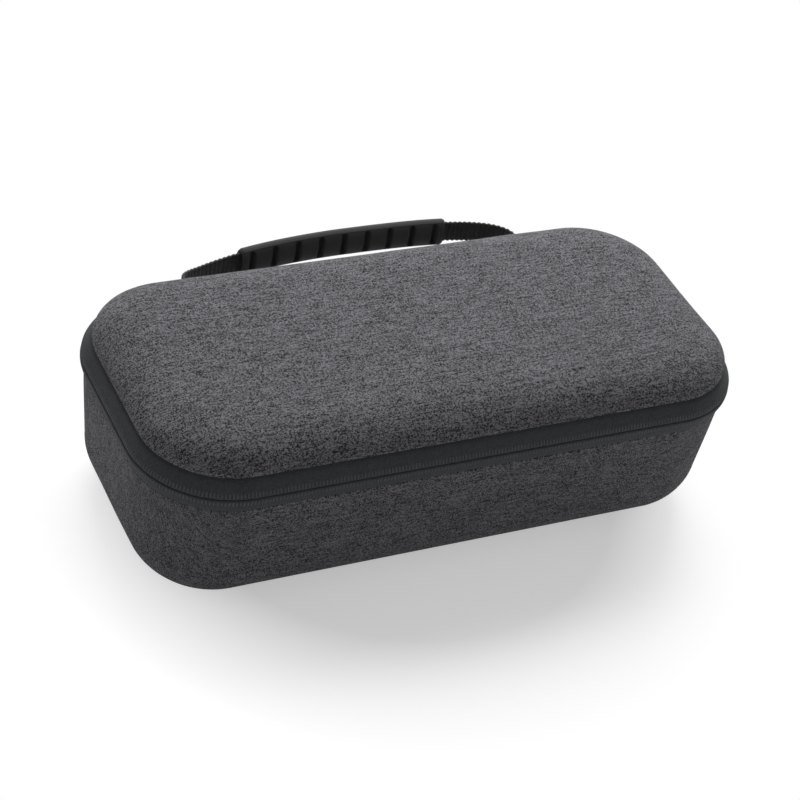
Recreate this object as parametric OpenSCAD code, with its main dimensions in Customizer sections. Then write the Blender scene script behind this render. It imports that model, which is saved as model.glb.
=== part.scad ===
// Hard-shell carrying case for a portable game console.
// Two moulded shells, a zip round three sides, a fabric hinge at the rear and a strap handle.
// Millimetres. The origin is the middle of the underside. X runs along the case, Y to the rear
// where the hinge and the handle are, and Z up.

/* [Case body] */
// Length over the zip ridge
case_l = 303; // [280:1:330]
// Width over the zip ridge
case_w = 143; // [134:1:160]
// Height of the closed case
case_h = 95.5; // [86:0.5:110]
// Height of the lid above the zip ridge
lid_h = 23; // [20:0.5:30]
// Plan radius of the corners at the zip ridge
corner_r = 44; // [40:1:52]
// Thickness of the moulded foam wall
wall_t = 4.5; // [3.5:0.25:5.5]

/* [Base shell] */
// Drop from the zip ridge to the rim of the base
base_rim_drop = 8; // [7:0.5:10]
// How far the base rim stands in from the ridge
base_rim_in = 2; // [1.5:0.25:4]
// How much the base wall leans in from its rim to its bottom edge
base_lean = 3; // [2:0.5:8]
// Bottom edge curve, measured across
base_edge_across = 26.5; // [16:0.5:29]
// Bottom edge curve, measured up
base_edge_up = 26; // [12:1:30]

/* [Lid shell] */
// Rise from the zip ridge to the rim of the lid
lid_rim_rise = 8.5; // [7.5:0.5:10]
// How far the lid rim stands in from the ridge
lid_rim_in = 4.4; // [3.5:0.25:6]
// Height of the lid wall between its rim and its edge curve
lid_wall_h = 1; // [1:0.25:3]
// Edge curve of the lid, measured across
lid_edge_across = 26; // [16:1:28]
// Rise of the lid's top from its edge to its middle
lid_crown = 0.8; // [0.4:0.2:2]

/* [Rims and seams] */
// Radius at which the covering rolls in at both rims
rim_roll = 0.9; // [0.5:0.1:1]
// Height of the pressed lip that the zip is sewn to
lip_h = 4; // [3:0.5:5]
// Width of the binding ribbon inside each seam
binding_w = 11; // [8:1:14]
// Thickness of the binding ribbon
binding_t = 0.8; // [0.6:0.1:1]
// Space between pieces that are sewn or seated together
seat = 0.1; // [0.05:0.05:0.2]

/* [Zip] */
// Thickness of the zip tape, measured level
tape_t = 1.5; // [1.2:0.1:1.8]
// How far the tape sits behind the face of a rim
tape_step = 0.5; // [0.3:0.1:0.8]
// Space between the two halves of the zip
zip_slit = 1.2; // [1:0.1:1.6]
// Radius of the coil of each zip half
coil_r = 0.95; // [0.8:0.05:1.1]
// Length of each metal end stop
stop_l = 2; // [1.5:0.25:3]

/* [Hinge strip] */
// Half length of the rear side that has no zip
hinge_half_l = 97.5; // [92:0.5:99]
// How far the hinge strip stands in from the ridge at its middle
strip_in = 2.6; // [1.5:0.1:3.5]
// Height of the flat stretch of the hinge strip, where the handle is sewn on
strip_flat_h = 9; // [6:0.5:11]
// Space that is left for the fold between hinge strip and lid
fold_gap = 0.4; // [0.3:0.1:0.8]

/* [Handle] */
// How far the strap's sewn ends lie below the zip ridge
anchor_drop = 0; // [-0.5:0.1:1]
// Half of the strap's length along the case
handle_half_l = 87.6; // [84:0.2:90]
// How far the strap bows out from the hinge strip
handle_bow = 25; // [18:0.5:32]
// Tilt of the strap's plane above the level
handle_tilt = -6; // [-12:1:6]
// Fullness of the strap's bow, where 2 is an oval and more is squarer
handle_fullness = 3; // [2.6:0.1:4]
// Width of the webbing
webbing_w = 10; // [8:0.5:12]
// Thickness of the webbing
webbing_t = 1.8; // [1.4:0.1:2.2]
// Turn of the webbing at its ends
curl_w = 5; // [4.5:0.5:6]
// Length of each sewn end
tab_l = 22; // [16:1:28]
// Length of the moulded grip
grip_l = 108; // [96:1:120]
// Width of the moulded grip
grip_w = 15.5; // [14:0.5:18]
// Thickness of the moulded grip
grip_t = 8; // [6:0.25:10]
// Squareness of the grip's section, where 2 is an oval
grip_square = 2.6; // [2:0.1:4]
// Size of the grip's ends against the rest of it
grip_taper = 0.9; // [0.85:0.01:1]
// Number of slots in the grip
slot_count = 9; // [5:2:9]
// Distance from the middle of the last slot to the end of the grip
slot_end = 5.4; // [4:0.2:12]
// Width of a slot
slot_w = 3.3; // [2.5:0.1:4]
// Length of a slot across the grip
slot_l = 11.4; // [9:0.2:12.5]
// Space between webbing and grip
grip_gap = 0.2; // [0.1:0.05:0.3]

/* [Sliders] */
// Length of a slider's body
slider_l = 11; // [9:0.5:12]
// Height of a slider's plates
slider_h = 8.4; // [7.5:0.2:9]
// Thickness of a slider's plates
plate_t = 1; // [0.8:0.1:1.2]
// Corner radius of a slider's plates
plate_r = 1.8; // [1:0.1:2]
// Space between a slider and what it runs on
run_gap = 0.25; // [0.2:0.05:0.35]
// Thickness of the post between the plates
post_t = 0.7; // [0.5:0.1:0.8]
// Length of the post
post_l = 5; // [4:0.5:6]
// Radius of the bar that carries the pull
bar_r = 0.55; // [0.45:0.05:0.65]
// Width over the two ears of the bar
lug_w = 6; // [5.5:0.5:7]
// Thickness of an ear
ear_t = 1.1; // [0.8:0.1:1.3]

/* [Pulls] */
// Radius of the eye that turns on the bar
eye_r = 1.1; // [1:0.05:1.2]
// Running space between bar and eye
eye_gap = 0.08; // [0.05:0.01:0.1]
// Length of the metal link
link_l = 15; // [12:0.5:18]
// Width of the metal link
link_w = 5; // [4.5:0.5:6]
// Thickness of the metal link
link_t = 1; // [0.8:0.1:1.2]
// Length of the rubber tab
pull_l = 24; // [20:1:28]
// Width of the rubber tab
pull_w = 8; // [7.5:0.5:9]
// Thickness of the rubber tab
pull_t = 2.6; // [2.2:0.1:2.8]
// Length of the link that the tab covers
pull_cover = 8; // [6:0.5:10]
// Number of grooves across each face of the tab
groove_count = 3; // [2:1:4]
// Distance from groove to groove
groove_pitch = 3; // [2.5:0.25:3.5]
// Radius of a groove
groove_r = 0.5; // [0.3:0.05:0.6]

/* [Console tray] */
// How far the tray's top lies below the base rim
tray_drop = 3.5; // [2:0.5:5]
// Thickness of the tray
tray_t = 23; // [21:0.5:24]
// Length of the console recess
recess_l = 244; // [230:1:250]
// Width of the console recess
recess_w = 104; // [96:1:106]
// Depth of the console recess
recess_d = 16; // [12:0.5:17]
// Corner radius of the console recess
recess_r = 14; // [8:1:20]
// Radius of the finger notches
notch_r = 14; // [10:1:18]
// Space between the tray and the wall around it
tray_gap = 0.3; // [0.2:0.05:0.5]

/* [Dividers] */
// Thickness of a divider
divider_t = 5; // [4:0.5:7]
// Distance from the middle of the case to each divider
divider_x = 58; // [45:1:75]

/* [Mesh pocket] */
// Thickness of the mesh
mesh_t = 1; // [0.8:0.1:1.2]
// Distance from the middle of the case to the free edge of the pocket
pocket_edge_y = 28; // [15:1:35]
// Width of the elastic trim
trim_w = 6; // [5:0.5:8]
// Thickness of the elastic trim
trim_t = 1.8; // [1.4:0.1:2.2]

/* [Hidden] */
$fn = 64;

// Colours, as the photograph shows them
shell_colour = [0.30, 0.29, 0.31];
zip_colour = [0.16, 0.17, 0.17];
black = [0.06, 0.06, 0.065];
rubber_colour = [0.13, 0.13, 0.135];
lining_colour = [0.20, 0.20, 0.21];
metal_colour = [0.22, 0.22, 0.23];

// Steps in a quarter of an edge curve
edge_steps = 10;
// Steps in a rim's roll
roll_steps = 3;
// Steps in a sewn end of the strap
tab_steps = 2;
// Steps in the curl next to it
curl_steps = 6;
// Steps in half of the strap's bow
bow_steps = 14;
// Steps along the grip
grip_steps = 20;
// Points of the grip's rounded outline
outline_points = 16;
// Sides of a coil
coil_sides = 16;
// How far a cut runs past the face it opens
over = 1;

// Case outline
half_l = case_l / 2;
half_w = case_w / 2;
centre_x = half_l - corner_r;
centre_y = half_w - corner_r;

// Levels
ridge_z = case_h - lid_h;
base_rim_z = ridge_z - base_rim_drop;
lid_rim_z = ridge_z + lid_rim_rise;
base_half_z = ridge_z - zip_slit / 2;
lid_half_z = ridge_z + zip_slit / 2;

// Insets from the ridge
base_foot_in = base_rim_in + base_lean;
base_tape_in = base_rim_in + tape_step;
lid_tape_in = lid_rim_in + tape_step;
base_lip_in = base_tape_in + tape_t + seat;
lid_lip_in = lid_tape_in + tape_t + seat;

// How far each tape leans out for each millimetre towards the ridge
base_tape_slope = base_tape_in / (base_half_z - base_rim_z - seat);
lid_tape_slope = lid_tape_in / (lid_rim_z - seat - lid_half_z);

// Coils, seated against the inner faces of the tapes
coil_drop = coil_r + seat;
base_coil_in = tape_t + base_tape_slope * coil_drop + coil_drop * sqrt(1 + pow(base_tape_slope, 2));
lid_coil_in = tape_t + lid_tape_slope * coil_drop + coil_drop * sqrt(1 + pow(lid_tape_slope, 2));
coil_back_in = max(base_coil_in, lid_coil_in) + coil_r;

// Ends of the zip along the case
zip_end_x = hinge_half_l + 2 * seat + stop_l + seat;

// Console tray
tray_top_z = base_rim_z - tray_drop;
tray_z = tray_top_z - tray_t;
tray_side_gap = seat + binding_t + tray_gap;

// Outer face of the hinge strip at the handle, and the strap's sewn ends on it
strip_y = half_w - strip_in;
anchor_z = ridge_z - anchor_drop;
strap_mid = (webbing_t / 2 + seat) / cos(handle_tilt);

// Distance from slot to slot of the grip
slot_pitch = (grip_l - 2 * slot_end) / (slot_count - 1);

// Bar that carries a pull
bar_x = half_l + run_gap + plate_t + eye_r + run_gap;

// Points of a quarter oval: the first is above its centre, or below it where rise is negative,
// and the last is outside its centre
function edge_curve(centre, across, rise, steps) = [
    for (i = [0 : steps]) let (a = 90 * i / steps)
        [centre[0] - across * sin(a), centre[1] + rise * cos(a)]];

// The same points in the other order
function turned(points) = [for (i = [len(points) - 1 : -1 : 0]) points[i]];

// Inset of the base's inner wall at a height
function base_inside(z) =
    base_rim_in + wall_t + base_lean * (base_rim_z - z) / (base_rim_z - base_edge_up);

// Inner line of the base, from the middle of the floor out and up to a height
function base_inner_line(gap, top) = concat(
    [[corner_r, wall_t + gap]],
    edge_curve([base_foot_in + base_edge_across, base_edge_up],
        base_edge_across - wall_t - gap, wall_t + gap - base_edge_up, edge_steps),
    [[base_inside(top) + gap, top]]);

// Draws a section that is given as inset from the ridge and height
module section(points) {
    polygon([for (p = points) [corner_r - p[0], p[1]]]);
}

// Carries a section round the case
module round_case() {
    for (turn = [0, 180]) rotate([0, 0, turn]) {
        translate([-centre_x, centre_y, 0]) rotate([90, 0, 90]) linear_extrude(2 * centre_x) children();
        translate([centre_x, centre_y, 0]) rotate([90, 0, 0]) linear_extrude(2 * centre_y) children();
        translate([centre_x, centre_y, 0]) rotate_extrude(angle = 90) children();
        translate([-centre_x, centre_y, 0]) rotate([0, 0, 90]) rotate_extrude(angle = 90) children();
    }
}

// Fills the middle of the case, between the corner centres
module middle(z, height) {
    translate([-centre_x, -centre_y, z]) cube([2 * centre_x, 2 * centre_y, height]);
}

// Rounded rectangle, drawn about its middle
module round_rectangle(length, width, r) {
    square([length - 2 * r, width], center = true);
    square([length, width - 2 * r], center = true);
    for (sx = [-1, 1], sy = [-1, 1])
        translate([sx * (length / 2 - r), sy * (width / 2 - r)]) circle(r);
}

// Shape with two round ends, drawn about its middle
module pill(length, width) {
    square([length - width, width], center = true);
    for (s = [-1, 1]) translate([s * (length - width) / 2, 0]) circle(width / 2);
}

// Takes away the rear stretch that has no zip
module zip_sides() {
    difference() {
        children();
        translate([-zip_end_x, 0, 0]) cube([2 * zip_end_x, case_w, case_h]);
    }
}

// Moulded base with its pressed lip
module base_shell() {
    color(shell_colour) {
        round_case() section(concat(
            [[corner_r, 0]],
            edge_curve([base_foot_in + base_edge_across, base_edge_up],
                base_edge_across, -base_edge_up, edge_steps),
            turned(edge_curve([base_rim_in + rim_roll, base_rim_z - rim_roll],
                rim_roll, rim_roll, roll_steps)),
            [[base_lip_in, base_rim_z], [base_lip_in, base_rim_z + lip_h],
                [base_rim_in + wall_t, base_rim_z + lip_h]],
            turned(base_inner_line(0, base_rim_z))));
        middle(0, wall_t);
    }
}

// Moulded lid with its pressed lip
module lid_shell() {
    edge_z = lid_rim_z + lid_wall_h;
    edge_up = case_h - lid_crown - edge_z;
    edge_centre = [lid_rim_in + lid_edge_across, edge_z];
    color(shell_colour) {
        round_case() section(concat(
            [[corner_r, case_h]],
            edge_curve(edge_centre, lid_edge_across, edge_up, edge_steps),
            turned(edge_curve([lid_rim_in + rim_roll, lid_rim_z + rim_roll],
                rim_roll, -rim_roll, roll_steps)),
            [[lid_lip_in, lid_rim_z], [lid_lip_in, lid_rim_z - lip_h],
                [lid_rim_in + wall_t, lid_rim_z - lip_h]],
            turned(edge_curve(edge_centre, lid_edge_across - wall_t, edge_up - wall_t, edge_steps)),
            [[corner_r, case_h - wall_t]]));
        middle(case_h - wall_t, wall_t);
    }
}

// Lower half of the zip's tape
module base_zip_tape() {
    color(zip_colour) zip_sides() round_case() section([
        [base_tape_in, base_rim_z + seat], [0, base_half_z],
        [tape_t, base_half_z], [base_tape_in + tape_t, base_rim_z + seat]]);
}

// Upper half of the zip's tape
module lid_zip_tape() {
    color(zip_colour) zip_sides() round_case() section([
        [0, lid_half_z], [lid_tape_in, lid_rim_z - seat],
        [lid_tape_in + tape_t, lid_rim_z - seat], [tape_t, lid_half_z]]);
}

// Coil of the lower half
module base_zip_coil() {
    color(black) zip_sides() round_case()
        translate([corner_r - base_coil_in, base_half_z - coil_drop]) circle(coil_r, $fn = coil_sides);
}

// Coil of the upper half
module lid_zip_coil() {
    color(black) zip_sides() round_case()
        translate([corner_r - lid_coil_in, lid_half_z + coil_drop]) circle(coil_r, $fn = coil_sides);
}

// Ribbon that covers the base's seam inside
module base_binding() {
    foot_z = base_rim_z + lip_h - binding_w;
    face_in = base_rim_in + wall_t + seat;
    foot_in = base_inside(foot_z) + seat;
    color(black) round_case() section([
        [foot_in, foot_z], [face_in, base_rim_z], [face_in, base_rim_z + lip_h],
        [face_in + binding_t, base_rim_z + lip_h], [face_in + binding_t, base_rim_z],
        [foot_in + binding_t, foot_z]]);
}

// Ribbon that covers the lid's seam inside
module lid_binding() {
    face_in = lid_rim_in + wall_t + seat;
    top_z = lid_rim_z + lid_wall_h;
    color(black) round_case() section([
        [face_in, lid_rim_z - lip_h], [face_in, top_z],
        [face_in + binding_t, top_z], [face_in + binding_t, lid_rim_z - lip_h]]);
}

// Fabric strip that joins base and lid along the rear
module hinge_strip() {
    color(shell_colour) translate([-hinge_half_l, centre_y, 0]) rotate([90, 0, 90])
        linear_extrude(2 * hinge_half_l) section([
            [base_tape_in, base_rim_z + seat],
            [strip_in, ridge_z - strip_flat_h / 2], [strip_in, ridge_z + strip_flat_h / 2],
            [lid_tape_in, lid_rim_z - fold_gap], [lid_tape_in + tape_t, lid_rim_z - fold_gap],
            [strip_in + tape_t, ridge_z + strip_flat_h / 2], [strip_in + tape_t, ridge_z - strip_flat_h / 2],
            [base_tape_in + tape_t, base_rim_z + seat]]);
}

// Metal stop that closes one end of the zip
module zip_stop(side) {
    stop_h = 4 * coil_r + zip_slit;
    color(metal_colour)
        translate([side * (hinge_half_l + 2 * seat + stop_l / 2), half_w - strip_in - tape_t, ridge_z])
            cube([stop_l, 2 * tape_t, stop_h], center = true);
}

// Places what follows in the plane of the handle: X along the case, Y out and Z across the strap
module in_handle_plane() {
    translate([0, strip_y, anchor_z]) rotate([handle_tilt, 0, 0]) children();
}

// Bow of the strap at an angle round it, as its place along the case and out from the strip
function bow_point(a) = [
    handle_half_l * sign(cos(a)) * pow(abs(cos(a)), 2 / handle_fullness),
    handle_bow * pow(sin(a), 2 / handle_fullness)];

// Angle at which the bow stands a distance out from the strip
function bow_angle(out) = asin(pow(out / handle_bow, handle_fullness / 2));

// Angle at which the bow has come a distance along the case
function bow_angle_at(x) = acos(pow(x / handle_half_l, handle_fullness / 2));

// One half of the strap's way: the sewn end, its curl, and the bow up to the middle
function half_way(steps) = let (
        start = bow_angle(curl_w),
        curl = curl_w - strap_mid,
        corner = bow_point(start))
    concat(
        [for (i = [0 : tab_steps]) [corner[0] - curl - tab_l * (1 - i / tab_steps), strap_mid]],
        [for (i = [1 : curl_steps - 1]) let (a = 90 * i / curl_steps)
            [corner[0] - curl + curl * sin(a), curl_w - curl * cos(a)]],
        [for (i = [0 : steps]) bow_point(start + (90 - start) * i / steps)]);

// The whole way, from the right end to the left
function strap_way(steps) = let (half = half_way(steps), last = len(half) - 1)
    concat(half, [for (i = [last - 1 : -1 : 0]) [-half[i][0], half[i][1]]]);

// A point of the strap's way in the frame of the case
function lifted(p) = [p[0], strip_y + p[1] * cos(handle_tilt), anchor_z + p[1] * sin(handle_tilt)];

// Directions on a ribbon at one of its points: across its width and out of its face
function ribbon_across(p) = let (lean = handle_tilt * min(1, (p[1] - strap_mid) / curl_w))
    [0, -sin(lean), cos(lean)];
function unit(v) = v / norm(v);
function ribbon_out(way, i) =
    unit(cross(ribbon_across(way[i]),
        lifted(way[min(i + 1, len(way) - 1)]) - lifted(way[max(i - 1, 0)])));

// Solid that carries a closed outline along a way: outline points are [across, out]
module ribbon(way, outlines) {
    n = len(outlines[0]);
    rings = len(way);
    points = [for (i = [0 : rings - 1]) for (q = outlines[i])
        lifted(way[i]) + q[0] * ribbon_across(way[i]) + q[1] * ribbon_out(way, i)];
    sides = [for (i = [0 : rings - 2]) for (j = [0 : n - 1]) let (k = (j + 1) % n)
        for (f = [[i * n + j, i * n + k, (i + 1) * n + k], [i * n + j, (i + 1) * n + k, (i + 1) * n + j]]) f];
    polyhedron(points, concat(sides,
        [[for (j = [n - 1 : -1 : 0]) j], [for (j = [0 : n - 1]) (rings - 1) * n + j]]));
}

// Rectangle and rounded outline of a ribbon
function flat_outline(w, t) = [[-w / 2, -t / 2], [w / 2, -t / 2], [w / 2, t / 2], [-w / 2, t / 2]];
function round_outline(w, t) = [for (i = [0 : outline_points - 1]) let (a = 360 * i / outline_points)
    [w / 2 * sign(cos(a)) * pow(abs(cos(a)), 2 / grip_square),
        t / 2 * sign(sin(a)) * pow(abs(sin(a)), 2 / grip_square)]];

// Webbing strap with its sewn ends
module handle_webbing() {
    way = strap_way(bow_steps);
    color(black) ribbon(way, [for (p = way) flat_outline(webbing_w, webbing_t)]);
}

// Moulded grip that the webbing passes through, with a row of slots in the face towards the case
module handle_grip() {
    start = bow_angle_at(grip_l / 2);
    turn = (180 - 2 * start) / grip_steps;
    way = [for (i = [0 : grip_steps]) bow_point(start + turn * i)];
    tunnel = [for (i = [-1 : grip_steps + 1]) bow_point(start + turn * i)];
    channel_t = webbing_t + 2 * grip_gap;
    color(rubber_colour) difference() {
        ribbon(way, [for (i = [0 : grip_steps]) let (s = i == 0 || i == grip_steps ? grip_taper : 1)
            round_outline(grip_w * s, grip_t * s)]);
        ribbon(tunnel, [for (p = tunnel) flat_outline(webbing_w + 2 * grip_gap, channel_t)]);
        in_handle_plane() for (i = [0 : slot_count - 1]) {
            x = (i - (slot_count - 1) / 2) * slot_pitch;
            p = bow_point(x < 0 ? 180 - bow_angle_at(-x) : bow_angle_at(x));
            translate([p[0], p[1], 0]) rotate([90, 90, 0]) linear_extrude(grip_t) pill(slot_l, slot_w);
        }
    }
}

// Foam tray with a recess for the console
module console_tray() {
    lower_in = base_inside(tray_z) + tray_side_gap;
    upper_in = base_inside(tray_top_z) + tray_side_gap;
    color(lining_colour) difference() {
        union() {
            round_case() section([
                [corner_r, tray_z], [lower_in, tray_z], [upper_in, tray_top_z], [corner_r, tray_top_z]]);
            middle(tray_z, tray_t);
        }
        translate([0, 0, tray_top_z - recess_d]) linear_extrude(recess_d + over) {
            round_rectangle(recess_l, recess_w, recess_r);
        }
        for (side = [-1, 1]) translate([side * recess_l / 2, 0, tray_top_z - recess_d])
            cylinder(h = recess_d + over, r = notch_r);
    }
}

// Padded wall across the bay under the tray
module divider(side) {
    line = base_inner_line(tray_gap, tray_z - tray_gap);
    half = [for (p = line) [half_w - p[0], p[1]]];
    mirrored = [for (p = turned(half)) [-p[0], p[1]]];
    color(lining_colour) translate([side * divider_x - divider_t / 2, 0, 0]) rotate([90, 0, 90])
        linear_extrude(divider_t) polygon(concat(half, mirrored));
}

// Flat piece that fits inside the lid's binding, from one place across the case to another
module inside_lid(from_y, to_y, z, thickness) {
    edge_in = lid_rim_in + wall_t + binding_t + 2 * seat;
    intersection() {
        translate([0, 0, z]) linear_extrude(thickness)
            round_rectangle(case_l - 2 * edge_in, case_w - 2 * edge_in, corner_r - edge_in);
        translate([-half_l, from_y, z - over]) cube([case_l, to_y - from_y, thickness + 2 * over]);
    }
}

// Net that closes the front part of the lid's inside
module mesh_pocket() {
    color(black) inside_lid(-half_w, pocket_edge_y, lid_rim_z - mesh_t, mesh_t);
}

// Elastic ribbon along the pocket's free edge
module pocket_trim() {
    color(black) inside_lid(pocket_edge_y + seat, pocket_edge_y + seat + trim_w,
        lid_rim_z - (mesh_t + trim_t) / 2, trim_t);
}

// Plate or other flat shape that faces along X
module facing_x(x, y, z, thickness) {
    translate([x, y, z]) rotate([90, 0, 90]) linear_extrude(thickness) children();
}

// Middle of a slider along Y, for the front one (side -1) or the rear one (side 1)
function slider_y(side) = side * (slider_l + run_gap) / 2;

// Zip slider: outer and inner plate, the post between them and the bar for the pull
module zip_slider(side) {
    y = slider_y(side);
    outer_x = half_l + run_gap;
    inner_x = half_l - coil_back_in - run_gap;
    inner_h = 4 * coil_r + zip_slit + 2 * seat;
    color(metal_colour) {
        facing_x(outer_x, y, ridge_z, plate_t) round_rectangle(slider_l, slider_h, plate_r);
        facing_x(inner_x - plate_t, y, ridge_z, plate_t) round_rectangle(slider_l, inner_h, plate_r);
        translate([inner_x - plate_t / 2, y - side * (slider_l - post_l) / 2 - post_l / 2,
                ridge_z - post_t / 2])
            cube([outer_x - inner_x + plate_t, post_l, post_t]);
        for (s = [-1, 1]) translate([outer_x + plate_t / 2, y + s * (lug_w - ear_t) / 2, ridge_z]) {
            translate([0, -ear_t / 2, -eye_r]) cube([bar_x - outer_x - plate_t / 2, ear_t, 2 * eye_r]);
            translate([bar_x - outer_x - plate_t / 2, ear_t / 2, 0]) rotate([90, 0, 0])
                cylinder(h = ear_t, r = eye_r);
        }
        translate([bar_x, y + lug_w / 2 - ear_t / 2, ridge_z]) rotate([90, 0, 0])
            cylinder(h = lug_w - ear_t, r = bar_r);
    }
}

// Metal link of a pull, with the eye that turns on the bar
module pull_link(side) {
    eye_l = lug_w - 2 * ear_t - 2 * run_gap;
    neck = eye_r + run_gap;
    color(metal_colour) translate([bar_x, slider_y(side), ridge_z]) difference() {
        union() {
            rotate([90, 0, 0]) cylinder(h = eye_l, r = eye_r, center = true);
            translate([-link_t / 2, -eye_l / 2, -neck - over]) cube([link_t, eye_l, neck + over]);
            translate([-link_t / 2, -link_w / 2, -link_l]) cube([link_t, link_w, link_l - neck]);
        }
        rotate([90, 0, 0]) cylinder(h = eye_l + 2 * over, r = bar_r + eye_gap, center = true);
    }
}

// Rubber tab moulded round the end of a link
module pull_tab(side) {
    top = -link_l + pull_cover;
    first_groove = top - pull_cover - pull_w / 2;
    color(rubber_colour) translate([bar_x, slider_y(side), ridge_z]) difference() {
        facing_x(-pull_t / 2, 0, top - pull_l / 2, pull_t) rotate(90) pill(pull_l, pull_w);
        translate([-link_t / 2 - seat / 2, -link_w / 2 - seat / 2, -link_l - seat])
            cube([link_t + seat, link_w + seat, pull_cover + seat + over]);
        for (i = [0 : groove_count - 1], s = [-1, 1])
            translate([s * pull_t / 2, 0, first_groove - groove_pitch * i]) rotate([90, 0, 0])
                cylinder(h = pull_w + over, r = groove_r, center = true);
    }
}

base_shell();
base_zip_tape();
base_zip_coil();
base_binding();
hinge_strip();
handle_webbing();
handle_grip();
zip_stop(-1);  // left_zip_stop
zip_stop(1);  // right_zip_stop
console_tray();
divider(-1);  // left_divider
divider(1);  // right_divider
lid_shell();
lid_zip_tape();
lid_zip_coil();
lid_binding();
mesh_pocket();
pocket_trim();
zip_slider(-1);  // front_slider
zip_slider(1);  // rear_slider
pull_link(-1);  // front_pull_link
pull_tab(-1);  // front_pull_tab
pull_link(1);  // rear_pull_link
pull_tab(1);  // rear_pull_tab
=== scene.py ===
"""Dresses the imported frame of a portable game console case.

Two moulded shells in heather fabric, a zip round three sides, a fabric hinge with a strap handle
and its slotted grip at the rear, and the tray, dividers and net pocket inside. Sizes are in
millimetres and become metres when a mesh is made.
"""
import logging
import math
from dataclasses import dataclass
from enum import Enum
from typing import Callable, ClassVar, Sequence, Union

import bmesh
import bpy
import numpy as np
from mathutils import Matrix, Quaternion, Vector, noise


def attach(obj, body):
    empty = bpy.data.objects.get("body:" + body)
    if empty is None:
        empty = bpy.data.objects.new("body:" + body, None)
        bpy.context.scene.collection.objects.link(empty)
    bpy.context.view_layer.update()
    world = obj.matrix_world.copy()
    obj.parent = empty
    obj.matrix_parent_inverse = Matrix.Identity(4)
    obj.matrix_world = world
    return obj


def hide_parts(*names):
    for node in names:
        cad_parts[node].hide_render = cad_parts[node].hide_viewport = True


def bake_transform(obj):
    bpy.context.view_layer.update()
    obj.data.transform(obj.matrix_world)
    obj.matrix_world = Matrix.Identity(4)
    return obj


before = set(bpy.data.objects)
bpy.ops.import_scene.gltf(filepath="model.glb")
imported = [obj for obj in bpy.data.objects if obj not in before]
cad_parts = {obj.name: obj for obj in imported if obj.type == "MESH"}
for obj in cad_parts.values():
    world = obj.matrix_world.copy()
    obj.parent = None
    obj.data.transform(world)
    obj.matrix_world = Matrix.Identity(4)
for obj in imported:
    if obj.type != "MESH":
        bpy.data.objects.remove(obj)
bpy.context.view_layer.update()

log = logging.getLogger("case")

MM = 0.001
MERGE = 2e-6
FLOAT, VECTOR, GEOMETRY = "NodeSocketFloat", "NodeSocketVector", "NodeSocketGeometry"
OBJECT, MATERIAL = "NodeSocketObject", "NodeSocketMaterial"

Triple = tuple[float, float, float]
Point = tuple[float, float]
Section = list[Point]
Line = tuple[np.ndarray, np.ndarray]
Value = Union[float, int, tuple, bpy.types.NodeSocket]


class Body(Enum):
    """Bodies of the frame that pieces ride on."""

    CASE = "case"
    LID = "lid"
    FRONT_SLIDER = "front_slider"
    REAR_SLIDER = "rear_slider"
    FRONT_PULL = "front_pull"
    REAR_PULL = "rear_pull"


class Hold(Enum):
    """How a sheet of cloth is held."""

    STRETCHED = "stretched"


class Pattern(Enum):
    """Shader groups that materials share."""

    WEAVE = "Weave"
    RIBS = "Ribs"
    MOTTLE = "Mottle"


class Copies(Enum):
    """Geometry trees that set copies of a small shape."""

    ALONG = "Set along a line"
    SPREAD = "Set on points"


class Shape(Enum):
    """Small shapes that are set along a line."""

    STITCH = "stitch"
    LOOP = "loop"


@dataclass(frozen=True)
class Repeat:
    """A small shape that repeats along a line.

    Args:
        shape: the shape.
        size: its length along the line, its depth and its height; for a loop the wire comes first.
        pitch: distance from one to the next.
    """

    shape: Shape
    size: Triple
    pitch: float


@dataclass(frozen=True)
class CaseSizes:
    """Sizes of the case, as the part's source has them."""

    half_l: float = 151.5
    half_w: float = 71.5
    height: float = 95.5
    corner_r: float = 44.0
    wall: float = 4.5
    ridge_z: float = 72.5
    base_rim_z: float = 64.5
    base_rim_in: float = 2.0
    base_foot_in: float = 5.0
    base_edge_across: float = 26.5
    base_edge_up: float = 26.0
    lid_rim_z: float = 81.0
    lid_rim_in: float = 4.4
    lid_edge_z: float = 82.0
    lid_edge_across: float = 26.0
    lid_crown: float = 0.8
    rim_roll: float = 0.85
    soft_roll: float = 0.3
    lip_h: float = 4.0
    lip_round: float = 0.4
    tape_t: float = 1.5
    tape_step: float = 0.5
    seam_gap: float = 0.1
    zip_end_x: float = 99.8
    strip_in: float = 2.6
    strip_flat_h: float = 9.0
    strip_half_l: float = 97.5

    @property
    def centre_x(self) -> float:
        """Distance of the corner centres from the middle, along the case."""
        return self.half_l - self.corner_r

    @property
    def centre_y(self) -> float:
        """Distance of the corner centres from the middle, across the case."""
        return self.half_w - self.corner_r

    def base_inside(self, z: float) -> float:
        """Inset of the base's inner wall at a height."""
        lean = (self.base_foot_in - self.base_rim_in) / (self.base_rim_z - self.base_edge_up)
        return self.base_rim_in + self.wall + lean * (self.base_rim_z - z)


SIZES = CaseSizes()
SEAM_STITCH = Repeat(Shape.STITCH, (2.2, 0.35, 0.5), 3.0)


# Lines and sections


def quarter(centre: Point, across: float, rise: float, steps: int) -> Section:
    """Points of a quarter oval in a section.

    Args:
        centre: inset and height of the oval's centre.
        across: half width of the oval.
        rise: height of its first point over the centre, negative for one below it.
        steps: number of steps.

    Returns:
        Points from the one above or below the centre to the one outside it.
    """
    angles = np.linspace(0, math.pi / 2, steps + 1)
    return [(centre[0] - across * math.sin(a), centre[1] + rise * math.cos(a)) for a in angles]


def straight(start: Point, end: Point, steps: int) -> Section:
    """Points on a straight line in even steps, after start and up to end."""
    return [tuple(np.add(start, np.subtract(end, start) * i / steps)) for i in range(1, steps + 1)]


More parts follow.
